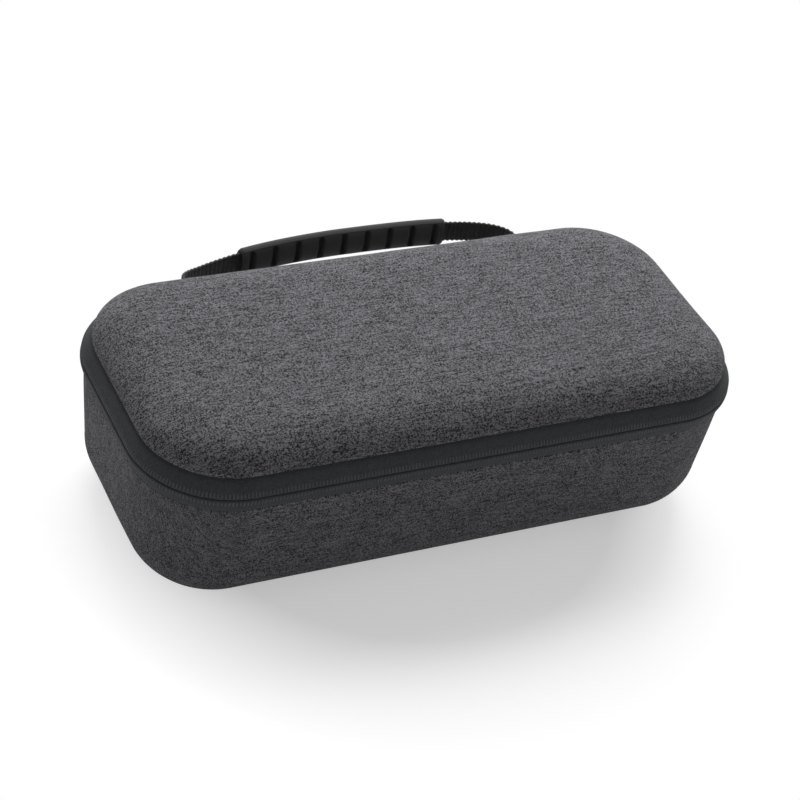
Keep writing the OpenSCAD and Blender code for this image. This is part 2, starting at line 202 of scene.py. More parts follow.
def oval(angles: np.ndarray, reach: Point, powers: Point) -> np.ndarray:
    """Points of an oval that can be squared.

    Args:
        angles: angles of the points.
        reach: half width and half height.
        powers: powers of the two waves, 1 for a plain oval and less for a squared one.

    Returns:
        One point for each angle.
    """
    waves = np.column_stack([np.cos(angles), np.sin(angles)])
    return np.sign(waves) * np.abs(waves) ** powers * reach


def smooth_step(low: float, high: float, value: np.ndarray) -> np.ndarray:
    """Smooth rise of a value from 0 at low to 1 at high."""
    t = np.clip((value - low) / (high - low), 0, 1)
    return t * t * (3 - 2 * t)


def distances(points: Union[np.ndarray, Section]) -> np.ndarray:
    """Distance of each point of a line from its start, along the line."""
    return np.concatenate([[0], np.cumsum(np.linalg.norm(np.diff(points, axis=0), axis=1))])


def stacked(*parts: Union[np.ndarray, float]) -> np.ndarray:
    """Points of a grid, from one array or number for each of their parts."""
    return np.stack(np.broadcast_arrays(*parts), -1)


def spread_evenly(points: np.ndarray, step: float) -> tuple[np.ndarray, np.ndarray]:
    """Places points evenly along a line.

    Args:
        points: dense points of the line.
        step: wanted distance between points.

    Returns:
        The even points and their distances along the line.
    """
    length = distances(points)
    along = np.linspace(0, length[-1], int(round(length[-1] / step)) + 1)
    return stacked(*(np.interp(along, length, part) for part in points.T)), along


@dataclass(frozen=True)
class Way:
    """Line round the case in plan, whose stations have a foot, an outward direction and a distance."""

    feet: np.ndarray
    out: np.ndarray
    along: np.ndarray
    tight: ClassVar[float] = 0.75 * SIZES.corner_r

    @classmethod
    def round_case(cls, step: float, half_gap: float = 0.0) -> "Way":
        """Goes round the case, from the middle of the rear side to the left and back to it.

        Args:
            step: greatest distance between stations on the ridge.
            half_gap: half of a stretch of the rear side that is left out.

        Returns:
            The way. Without a gap its last station is its first again.
        """
        cx, cy = SIZES.centre_x, SIZES.centre_y
        half = math.ceil((cx - half_gap) / step)
        front, side, turn = (2 * math.ceil(size / step) for size in (cx, cy, SIZES.corner_r * math.pi / 4))
        stops = [(-cx, cy), (-cx, -cy), (cx, -cy), (cx, cy), (half_gap, cy)]
        legs, here, angle = [], (-half_gap, cy), 90
        for stop, count in zip(stops, (half, side, front, side, half)):
            legs += [(here, stop, angle, 0, count), (stop, stop, angle, 90, turn)]
            here, angle = stop, angle + 90
        feet, out = [], []
        for start, end, from_a, by_a, count in legs[:-1]:
            t = np.arange(count)[:, None] / count
            a = np.radians(from_a + by_a * t)
            feet.append(start + np.subtract(end, start) * t)
            out.append(np.hstack([np.cos(a), np.sin(a)]))
        return cls.measured(np.concatenate([*feet, [here]]), np.concatenate([*out, [(0.0, 1.0)]]))

    @classmethod
    def rear(cls, half: float, step: float) -> "Way":
        """Goes along the rear side, from left to right, over twice the given half length."""
        x = np.linspace(-half, half, int(2 * half / step) + 1)
        return cls.measured(stacked(x, SIZES.centre_y), stacked(0 * x, 1.0))

    @classmethod
    def measured(cls, feet: np.ndarray, out: np.ndarray) -> "Way":
        """Adds the distances along the ridge to feet and directions."""
        return cls(feet, out, distances(feet + out * SIZES.corner_r))

    def ring(self, inset: float, z: float) -> np.ndarray:
        """Stations at an inset from the ridge and a height.

        Args:
            inset: distance from the ridge, up to half the width, where the ring closes to a line.
            z: height.

        Returns:
            One point for each station.
        """
        s, r = SIZES, SIZES.corner_r - inset
        if inset > self.tight:
            r = (s.half_w - inset) * (s.corner_r - self.tight) / (s.half_w - self.tight)
        scale = (s.half_l - inset - r) / s.centre_x, (s.half_w - inset - r) / s.centre_y
        plan = self.feet * scale + self.out * r
        return stacked(*plan.T, z)

    def rings(self, section: Section) -> np.ndarray:
        """Rows of stations for all points of a section."""
        return np.array([self.ring(*p) for p in section])

    def line(self, inset: float, z: float, outward: float = 1.0, upward: float = 0.0) -> Line:
        """A ring and the directions out of the surface on which it lies."""
        return self.ring(inset, z), stacked(*(self.out * outward).T, upward)

    def cut(self, keep: np.ndarray) -> "Way":
        """The stations that a mask keeps."""
        return Way(self.feet[keep], self.out[keep], self.along[keep])


# Meshes


def place_mesh(name: str, mesh: bpy.types.Mesh) -> bpy.types.Object:
    """Puts a mesh into the scene as an object at the origin.

    Args:
        name: the object's name.
        mesh: its mesh.

    Returns:
        The object.
    """
    piece = bpy.data.objects.new(name, mesh)
    bpy.context.scene.collection.objects.link(piece)
    return piece


def write_mesh(bm: bmesh.types.BMesh, mesh: bpy.types.Mesh) -> None:
    """Turns all faces outwards, smooths them and writes them to a mesh.

    Args:
        bm: the faces, which are freed.
        mesh: the mesh that takes them.
    """
    bmesh.ops.recalc_face_normals(bm, faces=bm.faces)
    if bm.calc_volume(signed=True) < 0:
        bmesh.ops.reverse_faces(bm, faces=bm.faces)
    for face in bm.faces:
        face.smooth = True
    bm.to_mesh(mesh)
    bm.free()


def draw_skin(
    name: str,
    grid: np.ndarray,
    uv: np.ndarray,
    finishes: Sequence[bpy.types.Material],
    cap_rows: bool = False,
    cap_columns: bool = False,
    second_from: int | None = None,
) -> bpy.types.Object:
    """Draws a closed skin over rows of points, whose doubled points are merged.

    Args:
        name: the piece's name.
        grid: points in millimetres, as rows and columns.
        uv: place of each point on the cloth, in millimetres.
        finishes: materials of the piece.
        cap_rows: closes the first and the last row with a face.
        cap_columns: closes the first and the last column with a face.
        second_from: row from which the second finish is used.

    Returns:
        The piece, with outward normals and smooth faces.
    """
    rows, columns = grid.shape[:2]
    index = np.arange(rows * columns).reshape(rows, columns)
    faces = stacked(index[:-1, :-1], index[:-1, 1:], index[1:, 1:], index[1:, :-1]).reshape(-1, 4).tolist()
    if cap_rows:
        faces += [index[0, :-1].tolist(), index[-1, -2::-1].tolist()]
    if cap_columns:
        faces += [index[-2::-1, 0].tolist(), index[:-1, -1].tolist()]
    mesh = bpy.data.meshes.new(name)
    mesh.from_pydata((grid.reshape(-1, 3) * MM).tolist(), [], faces)
    order = np.array([i for face in faces for i in face])
    layer = mesh.uv_layers.new(name="cloth")
    layer.data.foreach_set("uv", uv.reshape(-1, 2)[order].astype(np.float32).reshape(-1))
    for finish in finishes:
        mesh.materials.append(finish)
    if second_from is not None:
        second = np.arange(len(faces)) >= second_from * (columns - 1)
        mesh.polygons.foreach_set("material_index", second.astype(np.int32))
    bm = bmesh.new()
    bm.from_mesh(mesh)
    bmesh.ops.remove_doubles(bm, verts=bm.verts, dist=MERGE)
    bmesh.ops.dissolve_degenerate(bm, dist=MERGE / 4, edges=bm.edges)
    write_mesh(bm, mesh)
    return place_mesh(name, mesh)


def sweep(
    name: str, way: Way, section: Section, finish: bpy.types.Material, capped: bool = False
) -> bpy.types.Object:
    """Draws a tape: a closed section that is swept along a way.

    Args:
        name: the piece's name.
        way: the way.
        section: the section, with its first point again at the end.
        finish: material of the piece.
        capped: closes the two ends.

    Returns:
        The piece.
    """
    uv = stacked(way.along[None], distances(section)[:, None])
    return draw_skin(name, way.rings(section), uv, (finish,), cap_columns=capped)


def unevenness(piece: bpy.types.Object, size: float, depth: float, where: Callable[[Vector], float]) -> None:
    """Moves the points of a piece in and out a little, as hand-laid cloth over foam is never quite even.

    Args:
        piece: the piece.
        size: width of the swells.
        depth: their depth.
        where: gives the share of the depth at a point.
    """
    for vertex in piece.data.vertices:
        share = where(vertex.co / MM)
        if share > 0:
            swell = noise.noise(vertex.co / (size * MM))
            vertex.co += vertex.normal * (swell * depth * share * MM)


def cloth_extra(section: Section) -> np.ndarray:
    """How much longer the cloth is than its plan, at each point of a section from the first one on."""
    steps = np.diff(section, axis=0)
    return np.concatenate([[0], np.cumsum(np.hypot(steps[:, 0], steps[:, 1]) - np.abs(steps[:, 0]))])


def laid_over(way: Way, grid: np.ndarray, extra: np.ndarray) -> np.ndarray:
    """Places of a grid's points on a cloth that is laid over the case and drawn down its sides."""
    return grid[:, :, :2] + way.out[None] * extra[:, None, None]


def soften(node: str, name: str, width: float, finish: bpy.types.Material) -> bpy.types.Object:
    """Copies a CAD node and rounds its edges.

    Args:
        node: the CAD node.
        name: name of the new piece.
        width: width of the rounding.
        finish: its material.

    Returns:
        The new piece.
    """
    bm = bmesh.new()
    bm.from_mesh(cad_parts[node].data)
    bmesh.ops.remove_doubles(bm, verts=bm.verts, dist=MERGE)
    bmesh.ops.dissolve_limit(bm, angle_limit=math.radians(1), verts=bm.verts, edges=bm.edges)
    sharp = [e for e in bm.edges if e.is_manifold and e.calc_face_angle(0) > math.radians(38)]
    bmesh.ops.bevel(
        bm, geom=sharp, offset=width * MM, segments=2, profile=0.5, affect="EDGES", clamp_overlap=True
    )
    mesh = bpy.data.meshes.new(name)
    write_mesh(bm, mesh)
    mesh.set_sharp_from_angle(angle=math.radians(40))
    mesh.materials.append(finish)
    return place_mesh(name, mesh)


def joined_rings(rings: list[list[Triple]], closed: bool) -> bmesh.types.BMesh:
    """Joins rings of points with faces.

    Args:
        rings: the rings, of the same number of points in millimetres.
        closed: joins the last ring with the first one.

    Returns:
        The faces.
    """
    bm = bmesh.new()
    rows = [[bm.verts.new(Vector(point) * MM) for point in ring] for ring in rings]
    for row, after in zip(rows, rows[1:] + rows[:1] * closed):
        for i in range(len(row)):
            k = (i + 1) % len(row)
            bm.faces.new((row[i], row[k], after[k], after[i]))
    return bm


def small_shape(repeat: Repeat) -> bpy.types.Object:
    """Makes a small shape to be repeated: a long bead for a stitch, or a leaning loop of wire.

    Args:
        repeat: the shape and its size.

    Returns:
        An object that is removed after use.
    """
    if repeat.shape is Shape.STITCH:
        bm = bmesh.new()
        bmesh.ops.create_uvsphere(bm, u_segments=8, v_segments=5, radius=0.5)
        bmesh.ops.scale(bm, vec=Vector(repeat.size) * MM, verts=bm.verts)
    else:
        wire, depth, height = repeat.size
        rings = [
            [
                (
                    math.sin(b) * wire / 2 + 0.35 * math.sin(a) * wire,
                    math.cos(a) * (depth + math.cos(b) * wire) / 2,
                    math.sin(a) * (height + math.cos(b) * wire) / 2,
                )
                for b in np.arange(4) * math.tau / 4
            ]
            for a in np.arange(10) * math.tau / 10
        ]
        bm = joined_rings(rings, True)
    mesh = bpy.data.meshes.new(repeat.shape.value)
    write_mesh(bm, mesh)
    return place_mesh(mesh.name, mesh)


def set_copies(
    name: str, mesh: bpy.types.Mesh, tree: Copies, shape: bpy.types.Object, finish: bpy.types.Material,
    pitch: float = 1.0,
) -> bpy.types.Object:
    """Sets copies of a shape with a geometry tree and makes them a plain piece.

    Args:
        name: name of the piece.
        mesh: lines or points on which the copies are set.
        tree: the geometry tree.
        shape: the shape, which is removed.
        finish: material of the piece.
        pitch: distance from one copy to the next along a line.

    Returns:
        The piece.
    """
    holder = place_mesh(mesh.name, mesh)
    modifier = holder.modifiers.new("copies", "NODES")
    modifier.node_group = bpy.data.node_groups[tree.value]
    values = {"Shape": shape, "Finish": finish, "Pitch": pitch * MM}
    for item in modifier.node_group.interface.items_tree:
        if item.item_type == "SOCKET" and item.in_out == "INPUT" and item.name in values:
            modifier[item.identifier] = values[item.name]
    seen = holder.evaluated_get(bpy.context.evaluated_depsgraph_get())
    made = bpy.data.meshes.new_from_object(seen)
    holder.modifiers.clear()
    for used in (holder, shape):
        bpy.data.objects.remove(used)
    made.name = name
    made.materials.clear()
    made.materials.append(finish)
    made.polygons.foreach_set("material_index", np.zeros(len(made.polygons), np.int32))
    made.polygons.foreach_set("use_smooth", np.ones(len(made.polygons), bool))
    return place_mesh(name, made)


def set_along(
    name: str, lines: Sequence[Line], repeat: Repeat, finish: bpy.types.Material
) -> bpy.types.Object:
    """Sets a small shape along lines, such as a row of stitches.

    Args:
        name: name of the piece.
        lines: points of each line, and the directions out of the surface.
        repeat: the small shape with its size and pitch.
        finish: material of the piece.

    Returns:
        The piece.
    """
    points, edges = np.concatenate([line for line, _ in lines]), []
    first = 0
    for line, _ in lines:
        edges += [(i, i + 1) for i in range(first, first + len(line) - 1)]
        first += len(line)
    mesh = bpy.data.meshes.new(name + "_line")
    mesh.from_pydata((points * MM).tolist(), edges, [])
    facing = np.concatenate([out for _, out in lines]).reshape(-1)
    mesh.attributes.new("facing", "FLOAT_VECTOR", "POINT").data.foreach_set("vector", facing)
    return set_copies(name, mesh, Copies.ALONG, small_shape(repeat), finish, repeat.pitch)


# Node trees


class Graph:
    """Adds nodes to a tree and joins them."""

    def __init__(self, tree: bpy.types.NodeTree) -> None:
        """Keeps the tree, emptied."""
        self.tree = tree
        tree.nodes.clear()

    def add(self, kind: str, inputs: dict[object, Value] | None = None, **settings: object) -> bpy.types.Node:
        """Adds a node.

        Args:
            kind: Blender's name of the node type.
            inputs: values or sockets by input name or number.
            settings: properties of the node.

        Returns:
            The node.
        """
        node = self.tree.nodes.new(kind)
        for key, value in settings.items():
            setattr(node, key, value)
        for key, value in (inputs or {}).items():
            self.put(value, node.inputs[key])
        return node

    def put(self, value: Value, socket: bpy.types.NodeSocket) -> None:
        """Gives an input socket a value, or a link where the value is a socket.

        Args:
            value: the value or the socket.
            socket: the input socket.
        """
        if isinstance(value, bpy.types.NodeSocket):
            self.tree.links.new(value, socket)
        else:
            socket.default_value = value

    def math(self, operation: str, *values: Value) -> bpy.types.NodeSocket:
        """Result of a Math node on the values."""
        return self.add("ShaderNodeMath", dict(enumerate(values)), operation=operation).outputs[0]

    def blend(self, factor: Value, first: Value, second: Value) -> bpy.types.NodeSocket:
        """Mix of two colours by a factor."""
        return self.add("ShaderNodeMix", {0: factor, 6: first, 7: second}, data_type="RGBA").outputs[2]

    def span(self, value: Value, low: Value, high: Value, *to: Value) -> bpy.types.NodeSocket:
        """Maps a value from one range to another, clamped. The second range is 0 to 1 unless given."""
        return self.add("ShaderNodeMapRange", dict(enumerate((value, low, high, *to)))).outputs[0]

    def noise(self, vector: Value, scale: Value, detail: float = 2.0) -> bpy.types.NodeSocket:
        """Value of a noise texture."""
        inputs = {"Vector": vector, "Scale": scale, "Detail": detail}
        return self.add("ShaderNodeTexNoise", inputs).outputs["Fac"]

    def vector(self, *parts: Value) -> bpy.types.NodeSocket:
        """A vector from up to three values."""
        return self.add("ShaderNodeCombineXYZ", dict(enumerate(parts))).outputs[0]


def new_group(
    name: str, kind: str, inputs: dict[str, str | float], outputs: dict[str, str]
) -> tuple[Graph, bpy.types.bpy_prop_collection, bpy.types.bpy_prop_collection]:
    """Starts a node group.

    Args:
        name: the group's name.
        kind: type of its tree.
        inputs: socket type of each input, or the first value of a number.
        outputs: socket type of each output.

    Returns:
        A graph of its tree, the sockets that bring its inputs, and those that take its outputs.
    """
    tree = bpy.data.node_groups.new(name, kind)
    graph = Graph(tree)
    for label, first in inputs.items():
        kind_of = first if isinstance(first, str) else FLOAT
        item = tree.interface.new_socket(label, in_out="INPUT", socket_type=kind_of)
        if kind_of is FLOAT:
            item.default_value = first
    for label, socket in outputs.items():
        tree.interface.new_socket(label, in_out="OUTPUT", socket_type=socket)
    return graph, graph.add("NodeGroupInput").outputs, graph.add("NodeGroupOutput").inputs


def weave_group() -> None:
    """Builds the group for woven cloth: yarns that pass over and under, each with its own shade."""
    row_share, apart = 1.5, 3.17
    g, given, out = new_group(
        Pattern.WEAVE.value, "ShaderNodeTree",
        {"Place": VECTOR, "Pitch": 0.5, "Streak": 14.0, "Twist": 3.0, "Fleck": 0.0, "Slub": 0.0},
        {"Shade": FLOAT, "Height": FLOAT},
    )
    place = g.add("ShaderNodeSeparateXYZ", {0: given["Place"]}).outputs
    u = g.math("DIVIDE", place[0], given["Pitch"])
    v = g.math("DIVIDE", place[1], g.math("MULTIPLY", given["Pitch"], row_share))
    column, row = g.math("FLOOR", u), g.math("FLOOR", v)
    yarn = g.math("FLOOR", g.math("DIVIDE", g.math("ADD", u, row), 2.0))
    pair = g.math("FLOOR", g.math("DIVIDE", row, 2.0))
    cell = {"Vector": g.vector(yarn, row)}
    fleck = g.add("ShaderNodeTexWhiteNoise", cell, noise_dimensions="2D").outputs["Value"]
    lengthwise = g.math("DIVIDE", u, given["Streak"])
    weft = g.noise(g.vector(lengthwise, g.math("MULTIPLY", row, apart)), 1.0, 3.0)
    twisted = g.math("DIVIDE", v, given["Twist"])
    warp = g.noise(g.vector(g.math("MULTIPLY", column, apart), twisted, 7.0), 1.0, 1.0)
    slub = g.noise(g.vector(lengthwise, g.math("MULTIPLY", pair, 5.71), 3.0), 1.0, 2.0)
    over = g.math("FLOORED_MODULO", g.math("ADD", row, column), 2.0)
    under = g.math("SUBTRACT", 1.0, over)
    both = g.math("ADD", g.math("MULTIPLY", weft, under), g.math("MULTIPLY", warp, over))
    mixed = g.span(given["Fleck"], 0.0, 1.0, both, fleck)
    thick = g.math("MULTIPLY", g.math("SUBTRACT", slub, 0.5), given["Slub"])
    g.put(g.math("ADD", mixed, thick), out["Shade"])
    waves = [g.math("ABSOLUTE", g.math("SINE", g.math("MULTIPLY", part, math.pi))) for part in (v, u)]
    g.put(g.math("MULTIPLY", *waves), out["Height"])


def ribs_group() -> None:
    """Builds the group for ribbed tapes, whose ribs lie across the cloth's first direction."""
    g, given, out = new_group(
        Pattern.RIBS.value, "ShaderNodeTree", {"Place": VECTOR, "Pitch": 1.0}, {"Height": FLOAT}
    )
    along = g.add("ShaderNodeSeparateXYZ", {0: given["Place"]}).outputs[0]
    turn = g.math("MULTIPLY", g.math("DIVIDE", along, given["Pitch"]), math.pi)
    g.put(g.math("POWER", g.math("ABSOLUTE", g.math("SINE", turn)), 0.6), out["Height"])


def mottle_group() -> None:
    """Builds the group for slow changes over a surface, such as dust, handling and uneven dye."""
    g, given, out = new_group(
        Pattern.MOTTLE.value, "ShaderNodeTree",
        {"Place": VECTOR, "Width": 20.0, "Low": 0.9, "High": 1.1}, {"Value": FLOAT},
    )
    value = g.noise(given["Place"], g.math("DIVIDE", 1.0, given["Width"]), 4.0)
    g.put(g.span(value, 0.3, 0.7, given["Low"], given["High"]), out["Value"])


def copies_group(tree: Copies) -> None:
    """Builds a geometry tree that sets copies of a shape, on points or along a line and out of its surface.

    Args:
        tree: which tree.
    """
    g, given, out = new_group(
        tree.value, "GeometryNodeTree",
        {"Places": GEOMETRY, "Shape": OBJECT, "Pitch": 0.002, "Finish": MATERIAL}, {"Pieces": GEOMETRY},
    )
    shape = g.add("GeometryNodeObjectInfo", {"Object": given["Shape"]}).outputs["Geometry"]
    inputs = {"Points": given["Places"], "Instance": shape}
    if tree is Copies.ALONG:
        curve = g.add("GeometryNodeMeshToCurve", {0: given["Places"]}).outputs[0]
        spaced = g.add("GeometryNodeResampleCurve", {0: curve, 3: given["Pitch"]}, mode="LENGTH")
        facing = g.add("GeometryNodeInputNamedAttribute", {"Name": "facing"}, data_type="FLOAT_VECTOR")
        tangent = g.add("GeometryNodeInputTangent").outputs[0]
        lengthwise = g.add("FunctionNodeAlignRotationToVector", {"Vector": tangent}, axis="X").outputs[0]
        turned = g.add(
            "FunctionNodeAlignRotationToVector", {"Rotation": lengthwise, "Vector": facing.outputs[0]},
            axis="Y", pivot_axis="X",
        )
        inputs |= {"Points": spaced.outputs[0], "Rotation": turned.outputs[0]}
    placed = g.add("GeometryNodeInstanceOnPoints", inputs).outputs[0]
    real = g.add("GeometryNodeRealizeInstances", {0: placed}).outputs[0]
    dressed = g.add("GeometryNodeSetMaterial", {"Geometry": real, "Material": given["Finish"]})
    g.put(dressed.outputs[0], out[0])


# Finishes


class Paint(Graph):
    """A material's tree, with its shader and a place in millimetres for patterns."""

    def __init__(self, name: str, values: dict[str, Value], mapped: bool) -> None:
        """Starts a material.

        Args:
            name: its name.
            values: first values of its shader.
            mapped: places patterns by the piece's cloth map, and else by its own coordinates.
        """
        self.material = bpy.data.materials.new(name)
        self.material.use_nodes = True
        super().__init__(self.material.node_tree)
        self.shader = self.add("ShaderNodeBsdfPrincipled", values)
        self.add("ShaderNodeOutputMaterial", {0: self.shader.outputs[0]})
        if mapped:
            self.place = self.add("ShaderNodeUVMap", uv_map="cloth").outputs[0]
        else:
            own = self.add("ShaderNodeTexCoord").outputs["Object"]
            self.place = self.add("ShaderNodeMapping", {"Vector": own, "Scale": (1 / MM,) * 3}).outputs[0]

    def pattern(self, pattern: Pattern, **values: Value) -> bpy.types.bpy_prop_collection:
        """Outputs of a shared pattern with its own values."""
        tree = bpy.data.node_groups[pattern.value]
        return self.add("ShaderNodeGroup", {"Place": self.place, **values}, node_tree=tree).outputs

    def tint(self, base: Value, width: float, low: float, high: float) -> bpy.types.NodeSocket:
        """Gives the shader a colour that changes slowly over the surface.

        Args:
            base: the colour.
            width: width of the changes.
            low: lowest share of the colour.
            high: highest share.

        Returns:
            The share.
        """
        share = self.pattern(Pattern.MOTTLE, Width=width, Low=low, High=high)["Value"]
        colour = self.add("ShaderNodeVectorMath", {0: base, 1: share}, operation="MULTIPLY")
        self.put(colour.outputs[0], self.shader.inputs["Base Color"])
        return share

    def bump(self, height: Value, depth: float, strength: float = 1.0) -> None:
        """Gives the shader a relief of a depth in millimetres."""
        node = self.add("ShaderNodeBump", {"Height": height, "Distance": depth * MM, "Strength": strength})
        self.put(node.outputs[0], self.shader.inputs["Normal"])


def shaded(colour: Triple, factor: float) -> tuple[float, float, float, float]:
    """A colour made lighter or darker."""
    return (*(c * factor for c in colour), 1.0)


@dataclass(frozen=True)
class Finish:
    """Common part of all finishes.

    Args:
        name: the material's name.
        slot: the record's material slot; not used.
        colour: main colour, linear.
        roughness: main roughness.
    """

    name: str
    slot: str
    colour: Triple
    roughness: float
    mapped: ClassVar[bool] = True
    steady: ClassVar[dict[str, float]] = {}

    def make(self) -> bpy.types.Material:
        """Builds the material from its steady values and its patterns.

        Returns:
            The finished material.
        """
        values = {"Base Color": (*self.colour, 1), "Roughness": self.roughness, **self.steady}
        paint = Paint(self.name, values, self.mapped)
        self.dress(paint)
        return paint.material

    def dress(self, paint: Paint) -> None:
        """Gives the material its patterns."""
        raise NotImplementedError


@dataclass(frozen=True)
class HeatherCloth(Finish):
    """Mottled cloth of light and dark yarns, laminated on foam."""

    steady = {"Specular IOR Level": 0.25, "Sheen Weight": 0.12, "Sheen Roughness": 0.45}
    pitch: float = 0.25
    streak: float = 40.0
    fleck: float = 0.7
    slub: float = 0.8
    reach: float = 0.4 / 1.9
    darkest: float = 0.06
    lightest: float = 1.95

    def dress(self, paint: Paint) -> None:
        """Gives each yarn its shade, and the cloth slow mottling, fuzz and a woven relief.

        Args:
            paint: the material's tree.
        """
        weave = paint.pattern(
            Pattern.WEAVE, Pitch=self.pitch, Streak=self.streak, Fleck=self.fleck, Slub=self.slub
        )
        shade = paint.span(weave["Shade"], 0.5 - self.reach, 0.5 + self.reach)
        yarns = paint.blend(shade, shaded(self.colour, self.darkest), shaded(self.colour, self.lightest))
        paint.tint(yarns, 18.0, 0.94, 1.06)
        fuzz = paint.math("MULTIPLY", paint.noise(paint.place, 3.0), 0.6)
        paint.bump(paint.math("ADD", weave["Height"], fuzz), 0.16, 0.7)


@dataclass(frozen=True)
class RibbedTape(Finish):
    """Woven tape with ribs across it."""

    steady = {"Specular IOR Level": 0.3}
    pitch: float = 0.9
    depth: float = 0.2
    dust: float = 0.25

    def dress(self, paint: Paint) -> None:
        """Gives the tape ribs across its length, in relief and as painted light and shade, with fine yarns
        and a little dust.

        Args:
            paint: the material's tree.
        """
        ribs = paint.pattern(Pattern.RIBS, Pitch=self.pitch)["Height"]
        weave = paint.pattern(Pattern.WEAVE, Pitch=self.pitch / 2, Streak=3.0, Fleck=0.7)
        dust = paint.pattern(Pattern.MOTTLE, Width=9.0, Low=0.0, High=self.dust)["Value"]
        yarns = paint.math("MULTIPLY", weave["Shade"], 0.6)
        # The rib height also sets the colour: painted light on the crests and painted shade between the ribs,
        # besides the real relief of the bump.
        shade = paint.math("ADD", paint.math("MULTIPLY", ribs, 0.45), yarns)
        base = paint.blend(shade, shaded(self.colour, 0.4), shaded(self.colour, 1.5))
        paint.put(paint.blend(dust, base, shaded(self.colour, 1.6)), paint.shader.inputs["Base Color"])
        paint.bump(paint.math("ADD", ribs, paint.math("MULTIPLY", weave["Height"], 0.3)), self.depth)


@dataclass(frozen=True)
class SoftLining(Finish):
    """Brushed knit that lines the foam inside."""

    steady = {"Specular IOR Level": 0.2, "Sheen Weight": 0.25}

    def dress(self, paint: Paint) -> None:
        """Gives the lining a fine knit with a soft nap.

        Args:
            paint: the material's tree.
        """
        weave = paint.pattern(Pattern.WEAVE, Pitch=0.8, Streak=2.0, Twist=2.0)
        knit = paint.blend(weave["Shade"], shaded(self.colour, 0.8), shaded(self.colour, 1.2))
        paint.tint(knit, 12.0, 0.85, 1.15)
        paint.bump(paint.math("ADD", weave["Height"], paint.noise(paint.place, 1.5, 3.0)), 0.15, 0.6)


@dataclass(frozen=True)
class DarkMetal(Finish):
    """Dark plated metal, brushed and a little worn."""

    mapped = False
    steady = {"Metallic": 1.0}

    def dress(self, paint: Paint) -> None:
        """Gives the metal brushed streaks, and lighter places where the plating is rubbed.

        Args:
            paint: the material's tree.
        """
        paint.tint(self.colour, 1.6, 0.7, 1.5)
        stretched = paint.add("ShaderNodeMapping", {"Vector": paint.place, "Scale": (6.0, 6.0, 0.5)})
        streaks = paint.noise(stretched.outputs[0], 1.0)
        rough = paint.span(streaks, 0.3, 0.7, self.roughness - 0.08, self.roughness + 0.12)
        paint.put(rough, paint.shader.inputs["Roughness"])
        paint.bump(streaks, 0.02)


@dataclass(frozen=True)
class Nylon(Finish):
    """Polyester and nylon threads, with a soft gloss, a fine twist and uneven dye."""

    mapped = False

    def dress(self, paint: Paint) -> None:
        """Gives the thread its twist and its dye."""
        paint.tint(self.colour, 5.0, 0.8, 1.25)
        paint.bump(paint.noise(paint.place, 6.0, 1.0), 0.05)


@dataclass(frozen=True)
class FrameRubber:
    """Plain rubber, with the one colour and roughness of the frame's material."""

    slot: str

    def make(self) -> bpy.types.Material:
        """The frame's material of the slot."""
        return bpy.data.materials[self.slot]


class Look(Enum):
    """The finishes of the case."""

    SHELL = HeatherCloth("heather_cloth", "shell_fabric", (0.146, 0.143, 0.156), 0.95)
    HINGE = HeatherCloth("hinge_cloth", "hinge_fabric", (0.135, 0.132, 0.143), 0.95)
    TAPE = RibbedTape("zip_tape_cloth", "zip_tape", (0.05, 0.053, 0.055), 0.85, pitch=0.8, depth=0.1)
    BINDING = RibbedTape("binding_ribbon", "binding", (0.03, 0.03, 0.032), 0.8, depth=0.15)
    WEBBING = RibbedTape("black_webbing", "webbing", (0.03, 0.03, 0.031), 0.6, pitch=0.83, dust=0.15)
    ELASTIC = RibbedTape("elastic_ribbon", "elastic", (0.025, 0.025, 0.027), 0.75, pitch=1.1)
    LINING = SoftLining("soft_lining", "lining", (0.045, 0.045, 0.048), 0.95)
    GRIP = FrameRubber("grip_rubber")
    PULL = FrameRubber("pull_rubber")
    METAL = DarkMetal("dark_metal", "slider_metal", (0.12, 0.12, 0.125), 0.35)
    COIL = Nylon("coil_nylon", "zip_coil", (0.02, 0.021, 0.022), 0.4)
    TICK = Nylon("zip_stitching", "zip_tape", (0.062, 0.067, 0.069), 0.6)
    NET = Nylon("net_thread", "mesh", (0.02, 0.02, 0.021), 0.6)
    THREAD = Nylon("sewing_thread", "webbing", (0.03, 0.03, 0.032), 0.6)
    SEAM = Nylon("seam_thread", "binding", (0.05, 0.05, 0.053), 0.6)


class Wardrobe:
    """Makes each finish once."""

    def __init__(self) -> None:
        """Builds the shared patterns and trees."""
        for build in (weave_group, ribs_group, mottle_group):
            build()
        for tree in Copies:
            copies_group(tree)
        self.made: dict[Look, bpy.types.Material] = {}

    def get(self, look: Look) -> bpy.types.Material:
        """Gives the material of a finish, made at its first use.

        Args:
            look: the finish.

        Returns:
            The material.
        """
        if look not in self.made:
            self.made[look] = look.value.make()
        return self.made[look]


# Sub-assemblies


@dataclass
class Assembly:
    """Common part of the sub-assemblies, which dress their pieces and hand them to the frame."""

    wardrobe: Wardrobe

    def hand_over(self, piece: bpy.types.Object, look: Look, body: Body, *nodes: str) -> bpy.types.Object:
        """Hides the CAD nodes that a piece stands for and sets it on its body.

        Args:
            piece: the finished piece.
            look: its finish; not used.
            body: the body that it rides on.
            nodes: CAD nodes that it stands for.

        Returns:
            The piece.
        """
        if nodes:
            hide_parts(*nodes)
        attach(piece, body.value)
        log.info("%s rides on %s", piece.name, body.value)
        return piece

    def row(
        self, name: str, lines: Sequence[Line], repeat: Repeat, look: Look, body: Body, *nodes: str
    ) -> None:
        """Sets a small shape along lines and hands it over."""
        self.hand_over(set_along(name, lines, repeat, self.wardrobe.get(look)), look, body, *nodes)

    def rounded(self, name: str, width: float, look: Look, body: Body, node: str) -> None:
        """Rounds the edges of a CAD node's copy and hands it over."""
        self.hand_over(soften(node, name, width, self.wardrobe.get(look)), look, body, node)


